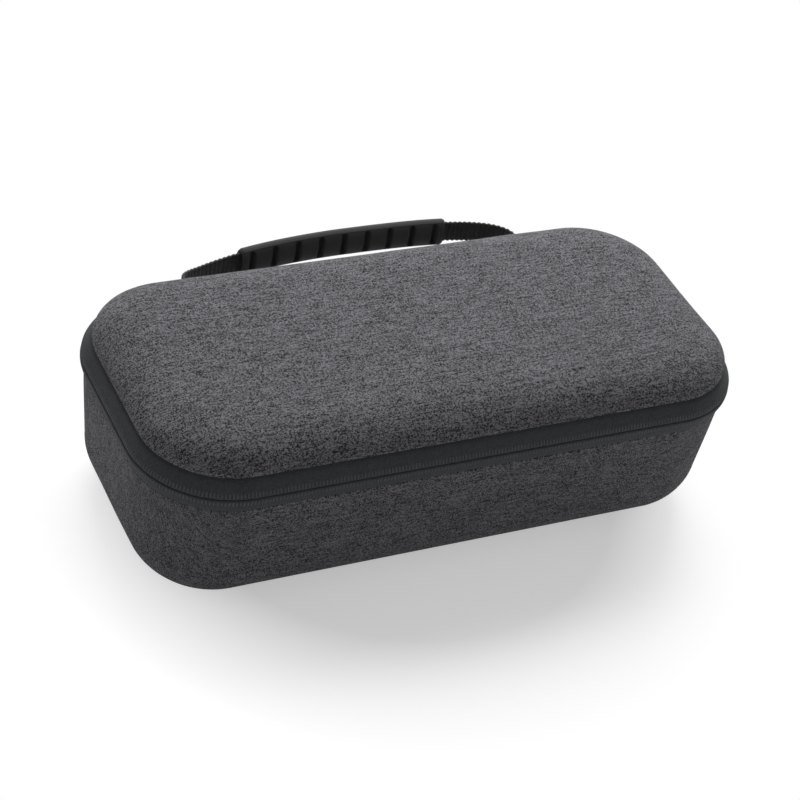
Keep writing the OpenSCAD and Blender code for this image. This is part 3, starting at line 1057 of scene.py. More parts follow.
@dataclass
class Shells(Assembly):
    """The two moulded shells, each one layer of foam with cloth outside and lining inside."""

    step: float = 3.0
    swell_width: float = 34.0
    swell_depth: float = 0.35
    calm: float = 1.5
    lid_fade: float = 5.0
    base_fade: float = 8.0
    floor_fade: float = 12.0
    skin: float = 2.0
    lid_side_w: float = 9.0

    def lip(self, rim_in: float, rim_z: float, up: int) -> Section:
        """Section of the lip on which the tape is sewn, from its outer to its inner side.

        Args:
            rim_in: inset of the shell's rim.
            rim_z: its height.
            up: 1 for a lip above the rim, -1 for one below it.

        Returns:
            The points.
        """
        s = SIZES
        outer, inner = rim_in + s.tape_step + s.tape_t + s.seam_gap, rim_in + s.wall
        end = rim_z + up * s.lip_h
        below = end - up * s.lip_round
        return [(outer, rim_z), (outer, below), (outer + s.lip_round, end),
                (inner - s.lip_round, end), (inner, below), (inner, rim_z)]

    def base_section(self) -> tuple[Section, int]:
        """Section of the base from the middle of its underside to the middle of its inner floor.

        Returns:
            The points, and the number of the first one inside.
        """
        s = SIZES
        centre = (s.base_foot_in + s.base_edge_across, s.base_edge_up)
        outer = [(s.half_w, 0.0)] + straight((s.half_w, 0.0), (centre[0], 0.0), 6)
        outer += quarter(centre, s.base_edge_across, -s.base_edge_up, 16)[1:]
        roll = (s.base_rim_in + s.soft_roll, s.base_rim_z - s.soft_roll)
        outer += straight(outer[-1], (s.base_rim_in, roll[1]), 12)
        outer += quarter(roll, s.soft_roll, s.soft_roll, 5)[-2::-1]
        lip = self.lip(s.base_rim_in, s.base_rim_z, 1)
        inner = straight(lip[-1], (s.base_foot_in + s.wall, s.base_edge_up), 8)
        inner += quarter(centre, s.base_edge_across - s.wall, s.wall - s.base_edge_up, 10)[-2::-1]
        inner += straight(inner[-1], (s.half_w, s.wall), 4)
        return outer + lip + inner, len(outer) + 3

    def lid_section(self) -> tuple[Section, int]:
        """Section of the lid from the middle of its top to the middle of its inner face.

        Returns:
            The points, and the number of the first one inside.
        """
        s = SIZES
        rise = s.height - s.lid_crown - s.lid_edge_z
        centre = (s.lid_rim_in + s.lid_edge_across, s.lid_edge_z)
        insets = np.linspace(s.half_w, centre[0], 14)
        falls = s.lid_crown * ((s.half_w - insets) / (s.half_w - centre[0])) ** 3
        outer = [(float(inset), float(s.height - fall)) for inset, fall in zip(insets, falls)]
        outer += quarter(centre, s.lid_edge_across, rise, 18)[1:]
        roll = (s.lid_rim_in + s.rim_roll, s.lid_rim_z + s.rim_roll)
        outer += straight(outer[-1], (s.lid_rim_in, roll[1]), 2)
        outer += quarter(roll, s.rim_roll, -s.rim_roll, 5)[-2::-1]
        lip = self.lip(s.lid_rim_in, s.lid_rim_z, -1)
        inner = [(s.lid_rim_in + s.wall, s.lid_edge_z)]
        inner += quarter(centre, s.lid_edge_across - s.wall, rise - s.wall, 10)[-2::-1]
        inner += straight(inner[-1], (s.half_w, s.height - s.wall), 5)
        return outer + lip + inner, len(outer) + 3

    def outside(self, p: Vector) -> float:
        """Share of the unevenness at a point: full on the outer faces, none near the rims and inside.

        Args:
            p: the point in millimetres.

        Returns:
            The share.
        """
        s = SIZES
        inset = s.corner_r - math.hypot(max(abs(p.x) - s.centre_x, 0.0), max(abs(p.y) - s.centre_y, 0.0))
        if p.z > s.ridge_z:
            past_rim = min(max((p.z - s.lid_rim_z - self.calm) / self.lid_fade, 0.0), 1.0)
            return past_rim if p.z > s.height - self.skin or inset < self.lid_side_w else 0.0
        past_rim = min(max((s.base_rim_z - self.calm - p.z) / self.base_fade, 0.0), 1.0)
        past_floor = min(p.z / self.floor_fade, 1.0)
        side_w = s.base_inside(p.z) - s.wall + self.calm
        return past_rim * past_floor if inset < side_w or p.z < self.skin else 0.0

    def build(self) -> None:
        """Builds both shells and hands them over."""
        way = Way.round_case(self.step)
        finishes = self.wardrobe.get(Look.SHELL), self.wardrobe.get(Look.LINING)
        for node, (section, inside), body in (
            ("base_shell", self.base_section(), Body.CASE),
            ("lid_shell", self.lid_section(), Body.LID),
        ):
            grid = way.rings(section)
            extra = np.concatenate([cloth_extra(section[:inside]), cloth_extra(section[inside:][::-1])[::-1]])
            uv = laid_over(way, grid, extra)
            piece = draw_skin(f"{node}_covered", grid, uv, finishes, second_from=inside - 1)
            unevenness(piece, self.swell_width, self.swell_depth, self.outside)
            self.hand_over(piece, Look.SHELL, body, node)


@dataclass(frozen=True)
class ZipHalf:
    """One half of the zip.

    Args:
        side: the shell that carries it.
        body: that shell's body.
        up: 1 above the ridge, -1 below it.
        rim_in: inset of the shell's rim.
        rim_z: its height.
        tape_in: distance of the tape's outer edge from the rim.
        notch: depth of the tape's dip under the rim.
        coil_in: inset of the coil.
    """

    side: str
    body: Body
    up: int
    rim_in: float
    rim_z: float
    tape_in: float
    notch: float
    coil_in: float


@dataclass
class Zip(Assembly):
    """The zip: two tapes with their stitched coils, the end stops, and the ribbons over the seams."""

    step: float = 2.5
    slit: float = 0.6
    bulge: float = 0.55
    dip_width: float = 0.09
    face_points: int = 14
    edge_in: float = 0.25
    tick: Repeat = Repeat(Shape.STITCH, (0.7, 0.42, 2.7), 1.65)
    coil: Repeat = Repeat(Shape.LOOP, (0.5, 1.4, 1.4), 1.65)
    coil_up: float = 1.65
    tick_gap: float = 0.35
    thread_up: float = 0.02
    ribbon_t: float = 0.8
    ribbon_h: float = 11.0
    seam_in: float = 1.2
    stop_edge: float = 0.35
    halves: ClassVar[tuple[ZipHalf, ZipHalf]] = (
        ZipHalf("base", Body.CASE, -1, SIZES.base_rim_in, SIZES.base_rim_z, 0.08, 0.0, 2.97),
        ZipHalf("lid", Body.LID, 1, SIZES.lid_rim_in, SIZES.lid_rim_z, 0.3, 0.8, 3.4),
    )

    def tape_section(self, half: ZipHalf) -> Section:
        """Closed section of one tape, a little rounded outwards.

        Args:
            half: the half of the zip.

        Returns:
            The points, with the first one again at the end.
        """
        s = SIZES
        rim_in, rim_z = half.rim_in + half.tape_in, half.rim_z - half.up * s.seam_gap
        edge_z = s.ridge_z + half.up * self.slit / 2
        points = []
        for t in (0.0, 0.04, 0.08, 0.13, 0.19, *np.linspace(0.27, 1, self.face_points - 5)):
            dip = half.notch * math.exp(-((t / self.dip_width) ** 2))
            swell = self.bulge * math.sin(math.pi * t) ** 0.8
            points.append((rim_in * (1 - t) - swell + dip, rim_z + (edge_z - rim_z) * t))
        points[-1] = (self.edge_in, edge_z)
        back = [(p[0] + s.tape_t, p[1]) for p in points[-1:0:-3]] + [(rim_in + s.tape_t, rim_z)]
        return points + back + points[:1]

    def face(self, half: ZipHalf, height: float) -> tuple[float, float, float, float]:
        """Place and direction of a tape's face.

        Args:
            half: the half of the zip.
            height: distance from the ridge's level.

        Returns:
            Inset and height of the place, and the outward and upward parts of its direction.
        """
        insets, levels = np.array(sorted(self.tape_section(half)[: self.face_points], key=lambda p: p[1])).T
        z, ahead = SIZES.ridge_z + half.up * height, 0.5
        inset, next_inset = np.interp([z, z + ahead], levels, insets)
        slope = float(next_inset - inset) / ahead
        length = math.hypot(1, slope)
        return float(inset), z, 1 / length, slope / length

    def ribbon_section(self, half: ZipHalf) -> Section:
        """Closed section of the ribbon that covers a seam inside.

        Args:
            half: the half of the zip.

        Returns:
            The points, with the first one again at the end.
        """
        s = SIZES
        face = half.rim_in + s.wall + s.seam_gap
        lip_end = (face, half.rim_z + s.lip_h * -half.up)
        spine = [lip_end, (face, half.rim_z), (face, s.lid_edge_z)]
        if half.body is Body.CASE:
            foot_z = lip_end[1] - self.ribbon_h
            spine = [(s.base_inside(foot_z) + s.seam_gap, foot_z), (face, half.rim_z), lip_end]
        fine = [spine[0]] + straight(spine[0], spine[1], 4) + straight(spine[1], spine[2], 3)
        return fine + [(p[0] + self.ribbon_t, p[1]) for p in reversed(fine)] + fine[:1]

    def build(self) -> None:
        """Builds the zip and hands its pieces over."""
        s, get = SIZES, self.wardrobe.get
        way, whole = Way.round_case(self.step, s.zip_end_x), Way.round_case(self.step)
        for half in self.halves:
            side, body = half.side, half.body
            tape = sweep(f"{side}_zip_band", way, self.tape_section(half), get(Look.TAPE), capped=True)
            self.hand_over(tape, Look.TAPE, body, f"{side}_zip_tape")
            inset, z, *facing = self.face(half, self.slit / 2 + self.tick_gap + self.tick.size[2] / 2)
            ticks = way.line(inset - self.thread_up, z, *facing)
            self.row(f"{side}_zip_stitches", [ticks], self.tick, Look.TICK, body)
            coil = way.line(half.coil_in, s.ridge_z + half.up * self.coil_up)
            self.row(f"{side}_coil_loops", [coil], self.coil, Look.COIL, body, f"{side}_zip_coil")
            ribbon = sweep(f"{side}_seam_ribbon", whole, self.ribbon_section(half), get(Look.BINDING))
            self.hand_over(ribbon, Look.BINDING, body, f"{side}_binding")
            inset = half.rim_in + s.wall + s.seam_gap + self.ribbon_t + self.thread_up
            seam = whole.line(inset, half.rim_z - half.up * (s.lip_h - self.seam_in), -1.0)
            self.row(f"{side}_seam_stitches", [seam], SEAM_STITCH, Look.SEAM, body)
        for side in ("left", "right"):
            self.rounded(f"{side}_end_stop", self.stop_edge, Look.METAL, Body.CASE, f"{side}_zip_stop")


@dataclass
class Hinge(Assembly):
    """The cloth strip along the rear that joins base and lid."""

    step: float = 3.0
    bend_low: float = 3.0
    bend_high: float = 0.3
    top_gap: float = 0.15
    seam_up: float = 1.4
    flat: Point = (0.0168, 0.195)

    def section(self) -> Section:
        """Closed section of the strip.

        Returns:
            The points, with the first one again at the end.
        """
        s = SIZES
        low = (s.base_rim_in + s.tape_step, s.base_rim_z + s.seam_gap)
        flat = [(s.strip_in, s.ridge_z + side * s.strip_flat_h / 2) for side in (-1, 1)]
        top = (s.lid_rim_in + s.tape_step, s.lid_rim_z - self.top_gap)
        face = [low] + straight(low, flat[0], 4) + straight(*flat, 8) + straight(flat[1], top, 10)
        return face + [(p[0] + s.tape_t, p[1]) for p in reversed(face)] + [low]

    def build(self) -> None:
        """Builds the strip with its seam between base and lid."""
        s = SIZES
        way = Way.rear(s.strip_half_l, self.step)
        look = Look.HINGE
        strip = sweep("hinge_cloth_strip", way, self.section(), self.wardrobe.get(look), capped=True)
        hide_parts("hinge_strip")
        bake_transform(strip)
        log.info("%s bends between case and lid", strip.name)
        line = way.line(s.base_rim_in + s.tape_step, s.base_rim_z + self.seam_up)
        self.row("hinge_seam_stitches", [line], SEAM_STITCH, Look.SEAM, Body.CASE)


@dataclass
class Handle(Assembly):
    """The strap handle: ribbed webbing with sewn ends, and a moulded grip with a row of slots."""

    anchor_z: float = 74.3
    middle_x: float = 1.0
    droop: float = 3.0
    droop_x: float = 55.0
    droop_most: float = 1.4
    droop_power: float = 1.5
    droop_out: float = 0.9
    half_l: float = 89.3
    bow: float = 25.0
    tilt: float = math.radians(-0.4)
    fullness: float = 3.0
    webbing_w: float = 11.4
    webbing_t: float = 1.8
    curl_w: float = 5.0
    tab_l: float = 22.0
    rib_pitch: float = 2.5
    rib_depth: float = 0.7
    notch_depth: float = 0.5
    grip_x: float = 2.0
    grip_l: float = 109.6
    grip_w: float = 14.7
    grip_t: float = 8.2
    grip_square: float = 2.1
    grip_points: int = 132
    grip_step: float = 0.33
    end_shrink: float = 0.07
    end_round: float = 1.1
    mouth_wall: Point = (3.4, 3.2)
    mouth_gap: Point = (1.0, 1.2)
    mouth_deep: int = 14
    slot_count: int = 9
    slot_pitch: float = 12.42
    slot_w: float = 3.1
    slot_l: float = 11.8
    slot_floor: float = 0.55
    bead_h: float = 0.28
    bead_at: float = 0.9
    bead_w: float = 0.03
    stitch: Repeat = Repeat(Shape.STITCH, (1.7, 0.5, 0.55), 2.2)
    box: tuple[float, float, float] = (2.5, 17.0, 3.4)

    @property
    def strap_mid(self) -> float:
        """Distance of the sewn ends' middle layer from the strip, in the strap's plane."""
        return (self.webbing_t / 2 + 0.1) / math.cos(self.tilt)

    def bow_points(self, start: float, end: float, steps: int) -> np.ndarray:
        """Points of the bow between two angles, as place along the case and out from the strip."""
        return oval(np.linspace(start, end, steps), (self.half_l, self.bow), (2 / self.fullness,) * 2)

    def strap_line(self) -> np.ndarray:
        """Dense points of the strap's way: sewn end, curl, bow, and the same on the other side.

        Returns:
            Place along the case and out from the strip.
        """
        start = math.asin((self.curl_w / self.bow) ** (self.fullness / 2))
        bow = self.bow_points(start, math.pi - start, 1200)
        curl = self.curl_w - self.strap_mid
        a = np.linspace(0, math.pi / 2, 40)
        turn = stacked(bow[0, 0] - curl + curl * np.sin(a), self.curl_w - curl * np.cos(a))
        tab = stacked(np.linspace(turn[0, 0] - self.tab_l, turn[0, 0], 60), self.strap_mid)
        half = np.concatenate([tab[:-1], turn[:-1]])
        return np.concatenate([half, bow, half[::-1] * (-1, 1)])

    def stations(self, line: np.ndarray) -> tuple[np.ndarray, np.ndarray, np.ndarray]:
        """Places a line of the strap's plane in the case's frame.

        Args:
            line: place along the case and out from the strip.

        Returns:
            The points, and the directions across the strap and out of its face.
        """
        x, out = line.T
        rear = SIZES.half_w - SIZES.strip_in
        left = np.clip(-x / self.droop_x, 0, self.droop_most) ** self.droop_power
        hang = self.droop * left * smooth_step(self.curl_w, self.droop_out * self.bow, out)
        z = self.anchor_z + out * math.sin(self.tilt) - hang
        points = stacked(x + self.middle_x, rear + out * math.cos(self.tilt), z)
        lean = self.tilt * np.clip((out - self.strap_mid) / self.curl_w, 0, 1)
        across = stacked(0 * lean, -np.sin(lean), np.cos(lean))
        outward = -np.cross(across, np.gradient(points, axis=0))
        return points, across, outward / np.linalg.norm(outward, axis=1, keepdims=True)

    def outline(self, width: float, thickness: float, power: float, count: int) -> np.ndarray:
        """Rounded outline across a ribbon.

        Args:
            width: size across the ribbon.
            thickness: size out of its face.
            power: squareness, 2 for an oval.
            count: number of points.

        Returns:
            Points across and out, with the first one again at the end.
        """
        dense = oval(np.linspace(0, math.tau, 1601), (width / 2, thickness / 2), (2 / power,) * 2)
        length = distances(dense)
        even = np.linspace(0, length[-1], count + 1)
        return stacked(*(np.interp(even, length, part) for part in dense.T))

    def webbing(self) -> bpy.types.Object:
        """Draws the webbing with its thick cross ribs and notched edges.

        Returns:
            The piece.
        """
        line, along = spread_evenly(self.strap_line(), self.rib_pitch / 7)
        points, across, outward = self.stations(line)
        thin = self.webbing_t - self.rib_depth
        rim = self.outline(self.webbing_w - 2 * self.notch_depth, thin, 7.0, 36)
        rib = np.abs(np.sin(math.pi * along / self.rib_pitch)) ** 0.7
        wide = 1 + 2 * self.notch_depth * rib / self.webbing_w
        thick = 1 + self.rib_depth * rib / thin
        grid = (
            points[:, None]
            + across[:, None] * (rim[None, :, :1] * wide[:, None, None])
            + outward[:, None] * (rim[None, :, 1:] * thick[:, None, None])
        )
        uv = stacked(along[:, None], distances(rim)[None])
        return draw_skin("handle_strap", grid, uv, (self.wardrobe.get(Look.WEBBING),), cap_rows=True)

    def slot_share(self, x: np.ndarray, across: np.ndarray) -> np.ndarray:
        """Where the slots are on the grip's face.

        Args:
            x: place along the case.
            across: place across the grip.

        Returns:
            1 in a slot and 0 beside it, with soft edges.
        """
        last = self.slot_count // 2
        beside = x - np.clip(np.round(x / self.slot_pitch), -last, last) * self.slot_pitch
        past = np.maximum(np.abs(across) - (self.slot_l - self.slot_w) / 2, 0)
        return smooth_step(0.45, -0.4, np.hypot(beside, past) - self.slot_w / 2)

    def grip(self) -> bpy.types.Object:
        """Draws the grip: a rounded sleeve with slots in its inner face, parting lines and open ends.

        Returns:
            The piece.
        """
        reach = [(self.grip_l / 2 + x) / self.half_l for x in (self.grip_x, -self.grip_x)]
        ends = [math.acos(share ** (self.fullness / 2)) for share in reach]
        line, along = spread_evenly(self.bow_points(ends[0], math.pi - ends[1], 1500), self.grip_step)
        points, across, outward = self.stations(line)
        rim = self.outline(self.grip_w, self.grip_t, self.grip_square, self.grip_points)
        near_end = np.minimum(along, along[-1] - along)
        shrink = self.end_shrink * (1 - smooth_step(0, self.end_round, near_end))
        place = rim[None] * (1 - shrink)[:, None, None]
        inner = smooth_step(0.5, 0.0, rim[:, 1])[None]
        slots = self.slot_share(line[:, :1] - self.grip_x, rim[None, :, 0]) * inner
        place[:, :, 1] = place[:, :, 1] * (1 - slots) - self.slot_floor * slots
        beside_bead = (np.abs(rim[:, 0]) / self.grip_w * 2 - self.bead_at) / self.bead_w
        bead = self.bead_h * np.exp(-(beside_bead**2)) * (rim[:, 1] < 0)
        place[:, :, 1] -= bead[None] * (1 - slots)
        body = points[:, None] + across[:, None] * place[:, :, :1] + outward[:, None] * place[:, :, 1:]
        wide = np.subtract((self.grip_w, self.grip_t), self.mouth_wall)
        narrow = np.add((self.webbing_w, self.webbing_t), self.mouth_gap)
        deep, mouths = self.mouth_deep, []
        for i, size in ((deep, narrow), (2, wide), (0, wide), (-1, wide), (-3, wide), (-1 - deep, narrow)):
            mouth = self.outline(*size, 3.0, self.grip_points)
            mouths.append((points[i] + across[i] * mouth[:, :1] + outward[i] * mouth[:, 1:])[None])
        grid = np.concatenate([*mouths[:3], body, *mouths[3:]])
        inside = np.array([6.0, 2.0, 1.0])
        rows = np.concatenate([along[0] - inside, along, along[-1] + inside[::-1]])
        uv = stacked(rows[:, None], distances(rim)[None])
        return draw_skin("handle_sleeve", grid, uv, (self.wardrobe.get(Look.GRIP),), cap_rows=True)

    def box_lines(self) -> list[Line]:
        """Lines of the crossed box of stitches on each sewn end.

        Returns:
            The lines with their directions.
        """
        rear = SIZES.half_w - SIZES.strip_in + self.webbing_t + 0.22
        near, far, half_h = self.box
        end = self.strap_line()[0, 0]
        (x1, z1), (x2, z2) = (end + near, self.anchor_z - half_h), (end + far, self.anchor_z + half_h)
        corners = [(x1, z1), (x2, z1), (x2, z2), (x1, z2), (x1, z1), (x2, z2)]
        lines = []
        for side in (1, -1):
            for path in (corners, [(x2, z1), (x1, z2)]):
                points = np.array([(self.middle_x + side * x, rear, z) for x, z in path])
                lines.append((points, np.tile((0.0, 1.0, 0.0), (len(points), 1))))
        return lines

    def build(self) -> None:
        """Builds the handle and hands its pieces over."""
        self.hand_over(self.webbing(), Look.WEBBING, Body.CASE, "handle_webbing")
        self.hand_over(self.grip(), Look.GRIP, Body.CASE, "handle_grip")
        self.row("strap_box_stitches", self.box_lines(), self.stitch, Look.THREAD, Body.CASE)


@dataclass
class Pulls(Assembly):
    """The two sliders with their pulls."""

    metal_edge: float = 0.16
    rubber_edge: float = 0.45

    def build(self) -> None:
        """Builds sliders, links and tabs and hands them over."""
        for side, slider, pull in (
            ("front", Body.FRONT_SLIDER, Body.FRONT_PULL),
            ("rear", Body.REAR_SLIDER, Body.REAR_PULL),
        ):
            self.rounded(f"{side}_slider_body", self.metal_edge, Look.METAL, slider, f"{side}_slider")
            self.rounded(f"{side}_pull_bar", self.metal_edge, Look.METAL, pull, f"{side}_pull_link")
            self.rounded(f"{side}_pull_grip", self.rubber_edge, Look.PULL, pull, f"{side}_pull_tab")


@dataclass
class Inside(Assembly):
    """What the case holds inside: tray, dividers and the lid's net pocket."""

    step: float = 1.6
    tray_z: float = 38.0
    tray_top_z: float = 61.0
    side_gap: float = 1.2
    recess_l: float = 244.0
    recess_w: float = 104.0
    recess_d: float = 16.0
    recess_r: float = 14.0
    notch_half: float = 15.0
    notch_depth: float = 14.0
    roll: float = 2.0
    under_in: float = 55.0
    floor_half_l: float = 70.0
    swell_width: float = 22.0
    swell_depth: float = 0.35
    divider_t: float = 5.0
    divider_x: float = 58.0
    divider_gap: float = 0.3
    divider_roll: float = 1.6
    pocket_z: float = 80.0
    pocket_in: float = 9.9
    pocket_edge_y: float = 28.0
    net_pitch: float = 3.2
    net_hole: float = 2.1
    net_t: float = 0.5
    net_join: float = 0.05
    net_wave: float = 0.35
    net_wave_l: Point = (21.0, 17.0)
    net_flat: Point = (0.0896, 0.2832)
    net_area: float = 0.0246
    hem_w: float = 5.0
    hem_t: float = 0.9
    trim_w: float = 6.0
    trim_t: float = 1.8
    trim_half_l: float = 139.6

    @property
    def net_z(self) -> float:
        """Height of the net's middle."""
        return self.pocket_z + 0.5

    def recess_line(self, way: Way) -> np.ndarray:
        """Plan line of the tray's recess with its finger notches.

        Args:
            way: the way that the tray follows.

        Returns:
            One point for each station.
        """
        half = np.array([self.recess_l, self.recess_w]) / 2 - self.recess_r
        plan = way.feet * (half / (SIZES.centre_x, SIZES.centre_y)) + way.out * self.recess_r
        near = np.clip(np.abs(plan[:, 1]) / self.notch_half, 0, 1)
        notch = self.notch_depth * (1 - near**2) ** 0.75 * (np.abs(way.out[:, 0]) > 0.99)
        return plan + way.out * notch[:, None]

    def tray(self) -> bpy.types.Object:
        """Draws the tray: foam that follows the base's wall, with a rolled recess.

        Returns:
            The piece.
        """
        way = Way.round_case(self.step)
        r, low, top = self.roll, self.tray_z, self.tray_top_z
        low_in, high_in = (SIZES.base_inside(z) + self.side_gap for z in (low, top))
        outer = [(SIZES.half_w, low), (self.under_in, low), (low_in + r, low)]
        outer += quarter((low_in + r, low + r), r, -r, 4)[1:]
        outer += straight((low_in, low + r), (high_in, top - r), 4)
        outer += quarter((high_in + r, top - r), r, r, 5)[-2::-1]
        recess, floor_z = self.recess_line(way), top - self.recess_d
        wall = quarter((r, top - r), r, r, 5)
        wall += [(0, top - r - (self.recess_d - 2 * r) * t) for t in (0.33, 0.67, 1)]
        wall += quarter((-r, floor_z + r), -r, -r, 4)[-2::-1]
        inner = [stacked(*(recess + way.out * offset).T, z) for offset, z in wall]
        rim = way.ring(*outer[-1])
        rows = [way.ring(*p) for p in outer] + [rim + (inner[0] - rim) * t for t in (0.33, 0.67)] + inner
        middle = stacked(np.clip(recess[:, 0], -self.floor_half_l, self.floor_half_l), 0.0, floor_z)
        rows += [rows[-1] + (middle - rows[-1]) * t for t in (0.03, 0.15, 0.4, 0.7)] + [middle]
        grid = np.array(rows)
        fall = np.concatenate([[0], np.cumsum(np.abs(np.diff(grid[:, :, 2].mean(axis=1))))])
        piece = draw_skin("tray_pad", grid, laid_over(way, grid, fall), (self.wardrobe.get(Look.LINING),))
        unevenness(piece, self.swell_width, self.swell_depth, lambda p: 1.0)
        return piece

    def divider(self, name: str, side: int) -> bpy.types.Object:
        """Draws one divider: a padded wall that follows the base's floor and walls.

        Args:
            name: name of the piece.
            side: -1 for the left one, 1 for the right one.

        Returns:
            The piece.
        """
        s, gap = SIZES, self.divider_gap
        top = self.tray_z - gap
        centre = (s.base_foot_in + s.base_edge_across, s.base_edge_up)
        line = [(s.half_w - 1.0, s.wall + gap)]
        line += quarter(centre, s.base_edge_across - s.wall - gap, s.wall + gap - s.base_edge_up, 10)
        half = np.array([(s.half_w - p[0], p[1]) for p in line + [(s.base_inside(top) + gap, top)]])
        loop, around = spread_evenly(np.concatenate([half, half[::-1] * (-1, 1), half[:1]]), self.step)
        step = np.roll(loop[:-1], -1, axis=0) - np.roll(loop[:-1], 1, axis=0)
        tangent = step / np.linalg.norm(step, axis=1, keepdims=True)
        inward = stacked(-tangent[:, 1], tangent[:, 0])
        inward = np.concatenate([inward, inward[:1]])
        turns = np.linspace(-math.pi / 2, math.pi / 2, 9)
        levels = self.divider_t / 2 * np.sin(turns)
        rolled = [loop + inward * (self.divider_roll * (1 - math.cos(a))) for a in turns]
        grid = np.array([stacked(side * self.divider_x + level, *at.T) for level, at in zip(levels, rolled)])
        uv = stacked(around[None], levels[:, None])
        return draw_skin(name, grid, uv, (self.wardrobe.get(Look.LINING),), cap_rows=True)

    def net(self) -> bpy.types.Object:
        """Makes the net: hexagonal rings of thread set side by side, inside a hem of tape.

        Returns:
            The piece.
        """
        way, thread = Way.round_case(2.5), self.wardrobe.get(Look.NET)
        way = way.cut(way.ring(self.pocket_in, 0)[:, 1] <= self.pocket_edge_y)
        edge_in, row_h = self.pocket_in + self.hem_w, self.net_pitch * math.sqrt(3) / 2
        inner = way.ring(edge_in, 0)[:, :2]
        low, high = inner.min(axis=0) - 2, inner.max(axis=0) + 2
        cells = []
        for j, y in enumerate(np.arange(low[1], self.pocket_edge_y - self.net_pitch / 2, row_h)):
            for x in np.arange(low[0], high[0], self.net_pitch) + (j % 2) * self.net_pitch / 2:
                plan = max(abs(x) - SIZES.centre_x, 0), max(-y - SIZES.centre_y, 0)
                if math.hypot(*plan) <= SIZES.corner_r - edge_in + self.net_pitch / 2:
                    cells.append((x, y, self.net_z))
        mesh = bpy.data.meshes.new("net_cells")
        mesh.from_pydata((np.array(cells) * MM).tolist(), [], [])
        net = set_copies("lid_net", mesh, Copies.SPREAD, self.net_tile(), thread)
        self.close_net(net.data)
        z, t = self.net_z, self.hem_t / 2
        section = [(self.pocket_in, z - t), (self.pocket_in, z + t), (edge_in, z + t),
                   (edge_in + 0.3, z), (edge_in, z - t), (self.pocket_in, z - t)]
        hem = sweep("net_hem", way, section, thread, capped=True)
        join = bmesh.new()
        for part in (net, hem):
            join.from_mesh(part.data)
        join.to_mesh(net.data)
        join.free()
        bpy.data.objects.remove(hem)
        return net

    def net_tile(self) -> bpy.types.Object:
        """Makes one mesh of the net: a hexagonal ring.

        Returns:
            An object that is removed after use.
        """
        sizes = [(self.net_pitch, 1), (self.net_hole, 1), (self.net_hole, -1), (self.net_pitch, -1)]
        turns = np.arange(6) * math.tau / 6
        corners = [(math.sin(a) / math.sqrt(3), math.cos(a) / math.sqrt(3)) for a in turns]
        rings = [[(size * x, size * y, up * self.net_t / 2) for x, y in corners] for size, up in sizes]
        mesh = bpy.data.meshes.new("net_tile")
        write_mesh(joined_rings(rings, False), mesh)
        return place_mesh("net_tile", mesh)

    def close_net(self, mesh: bpy.types.Mesh) -> None:
        """Joins the net's meshes, closes its border and lets it hang in soft waves.

        Args:
            mesh: the net's mesh, which is changed.
        """
        bm = bmesh.new()
        bm.from_mesh(mesh)
        bmesh.ops.remove_doubles(bm, verts=bm.verts, dist=self.net_join * MM)
        level = self.net_z * MM
        under = {self.spot(v.co): v for v in bm.verts if v.co.z < level}
        border = [e for e in bm.edges if e.is_boundary and all(v.co.z > level for v in e.verts)]
        for first, second in [e.verts[:] for e in border]:
            bm.faces.new((first, second, under[self.spot(second.co)], under[self.spot(first.co)]))
        for vertex in bm.verts:
            turn_x, turn_y = (place / MM / size for place, size in zip(vertex.co, self.net_wave_l))
            vertex.co.z += self.net_wave * MM * math.sin(turn_x) * math.cos(turn_y)
        write_mesh(bm, mesh)

    def spot(self, place: Vector) -> tuple[int, int]:
        """Place in plan as a pair of whole numbers, in steps of a twentieth of a millimetre."""
        return round(place.x / MM * 20), round(place.y / MM * 20)

    def trim(self) -> bpy.types.Object:
        """Draws the elastic trim along the pocket's free edge, a little gathered.

        Returns:
            The piece.
        """
        x = np.linspace(-self.trim_half_l, self.trim_half_l, 241)[:, None]
        a = np.linspace(0, math.tau, 25)
        across, up = oval(a, (self.trim_w / 2 - 0.1, self.trim_t / 2 - 0.3), (0.4, 0.6)).T
        gather = 0.18 * np.sin(x / 2.2) + 0.1 * np.sin(x / 0.9 + 1.3)
        grid = stacked(x, self.pocket_edge_y + 0.1 + self.trim_w / 2 + across, self.net_z + gather + up)
        uv = stacked(x, a * self.trim_w / 3)
        return draw_skin("pocket_elastic", grid, uv, (self.wardrobe.get(Look.ELASTIC),), cap_rows=True)

    def build(self) -> None:
        """Builds what is inside and hands it over."""
        self.hand_over(self.tray(), Look.LINING, Body.CASE, "console_tray")
        for side, node in ((-1, "left_divider"), (1, "right_divider")):
            pad = self.divider(f"{node}_pad", side)
            self.hand_over(pad, Look.LINING, Body.CASE, node)
        trim = self.hand_over(self.trim(), Look.ELASTIC, Body.LID, "pocket_trim")
        net = self.hand_over(self.net(), Look.NET, Body.LID, "mesh_pocket")


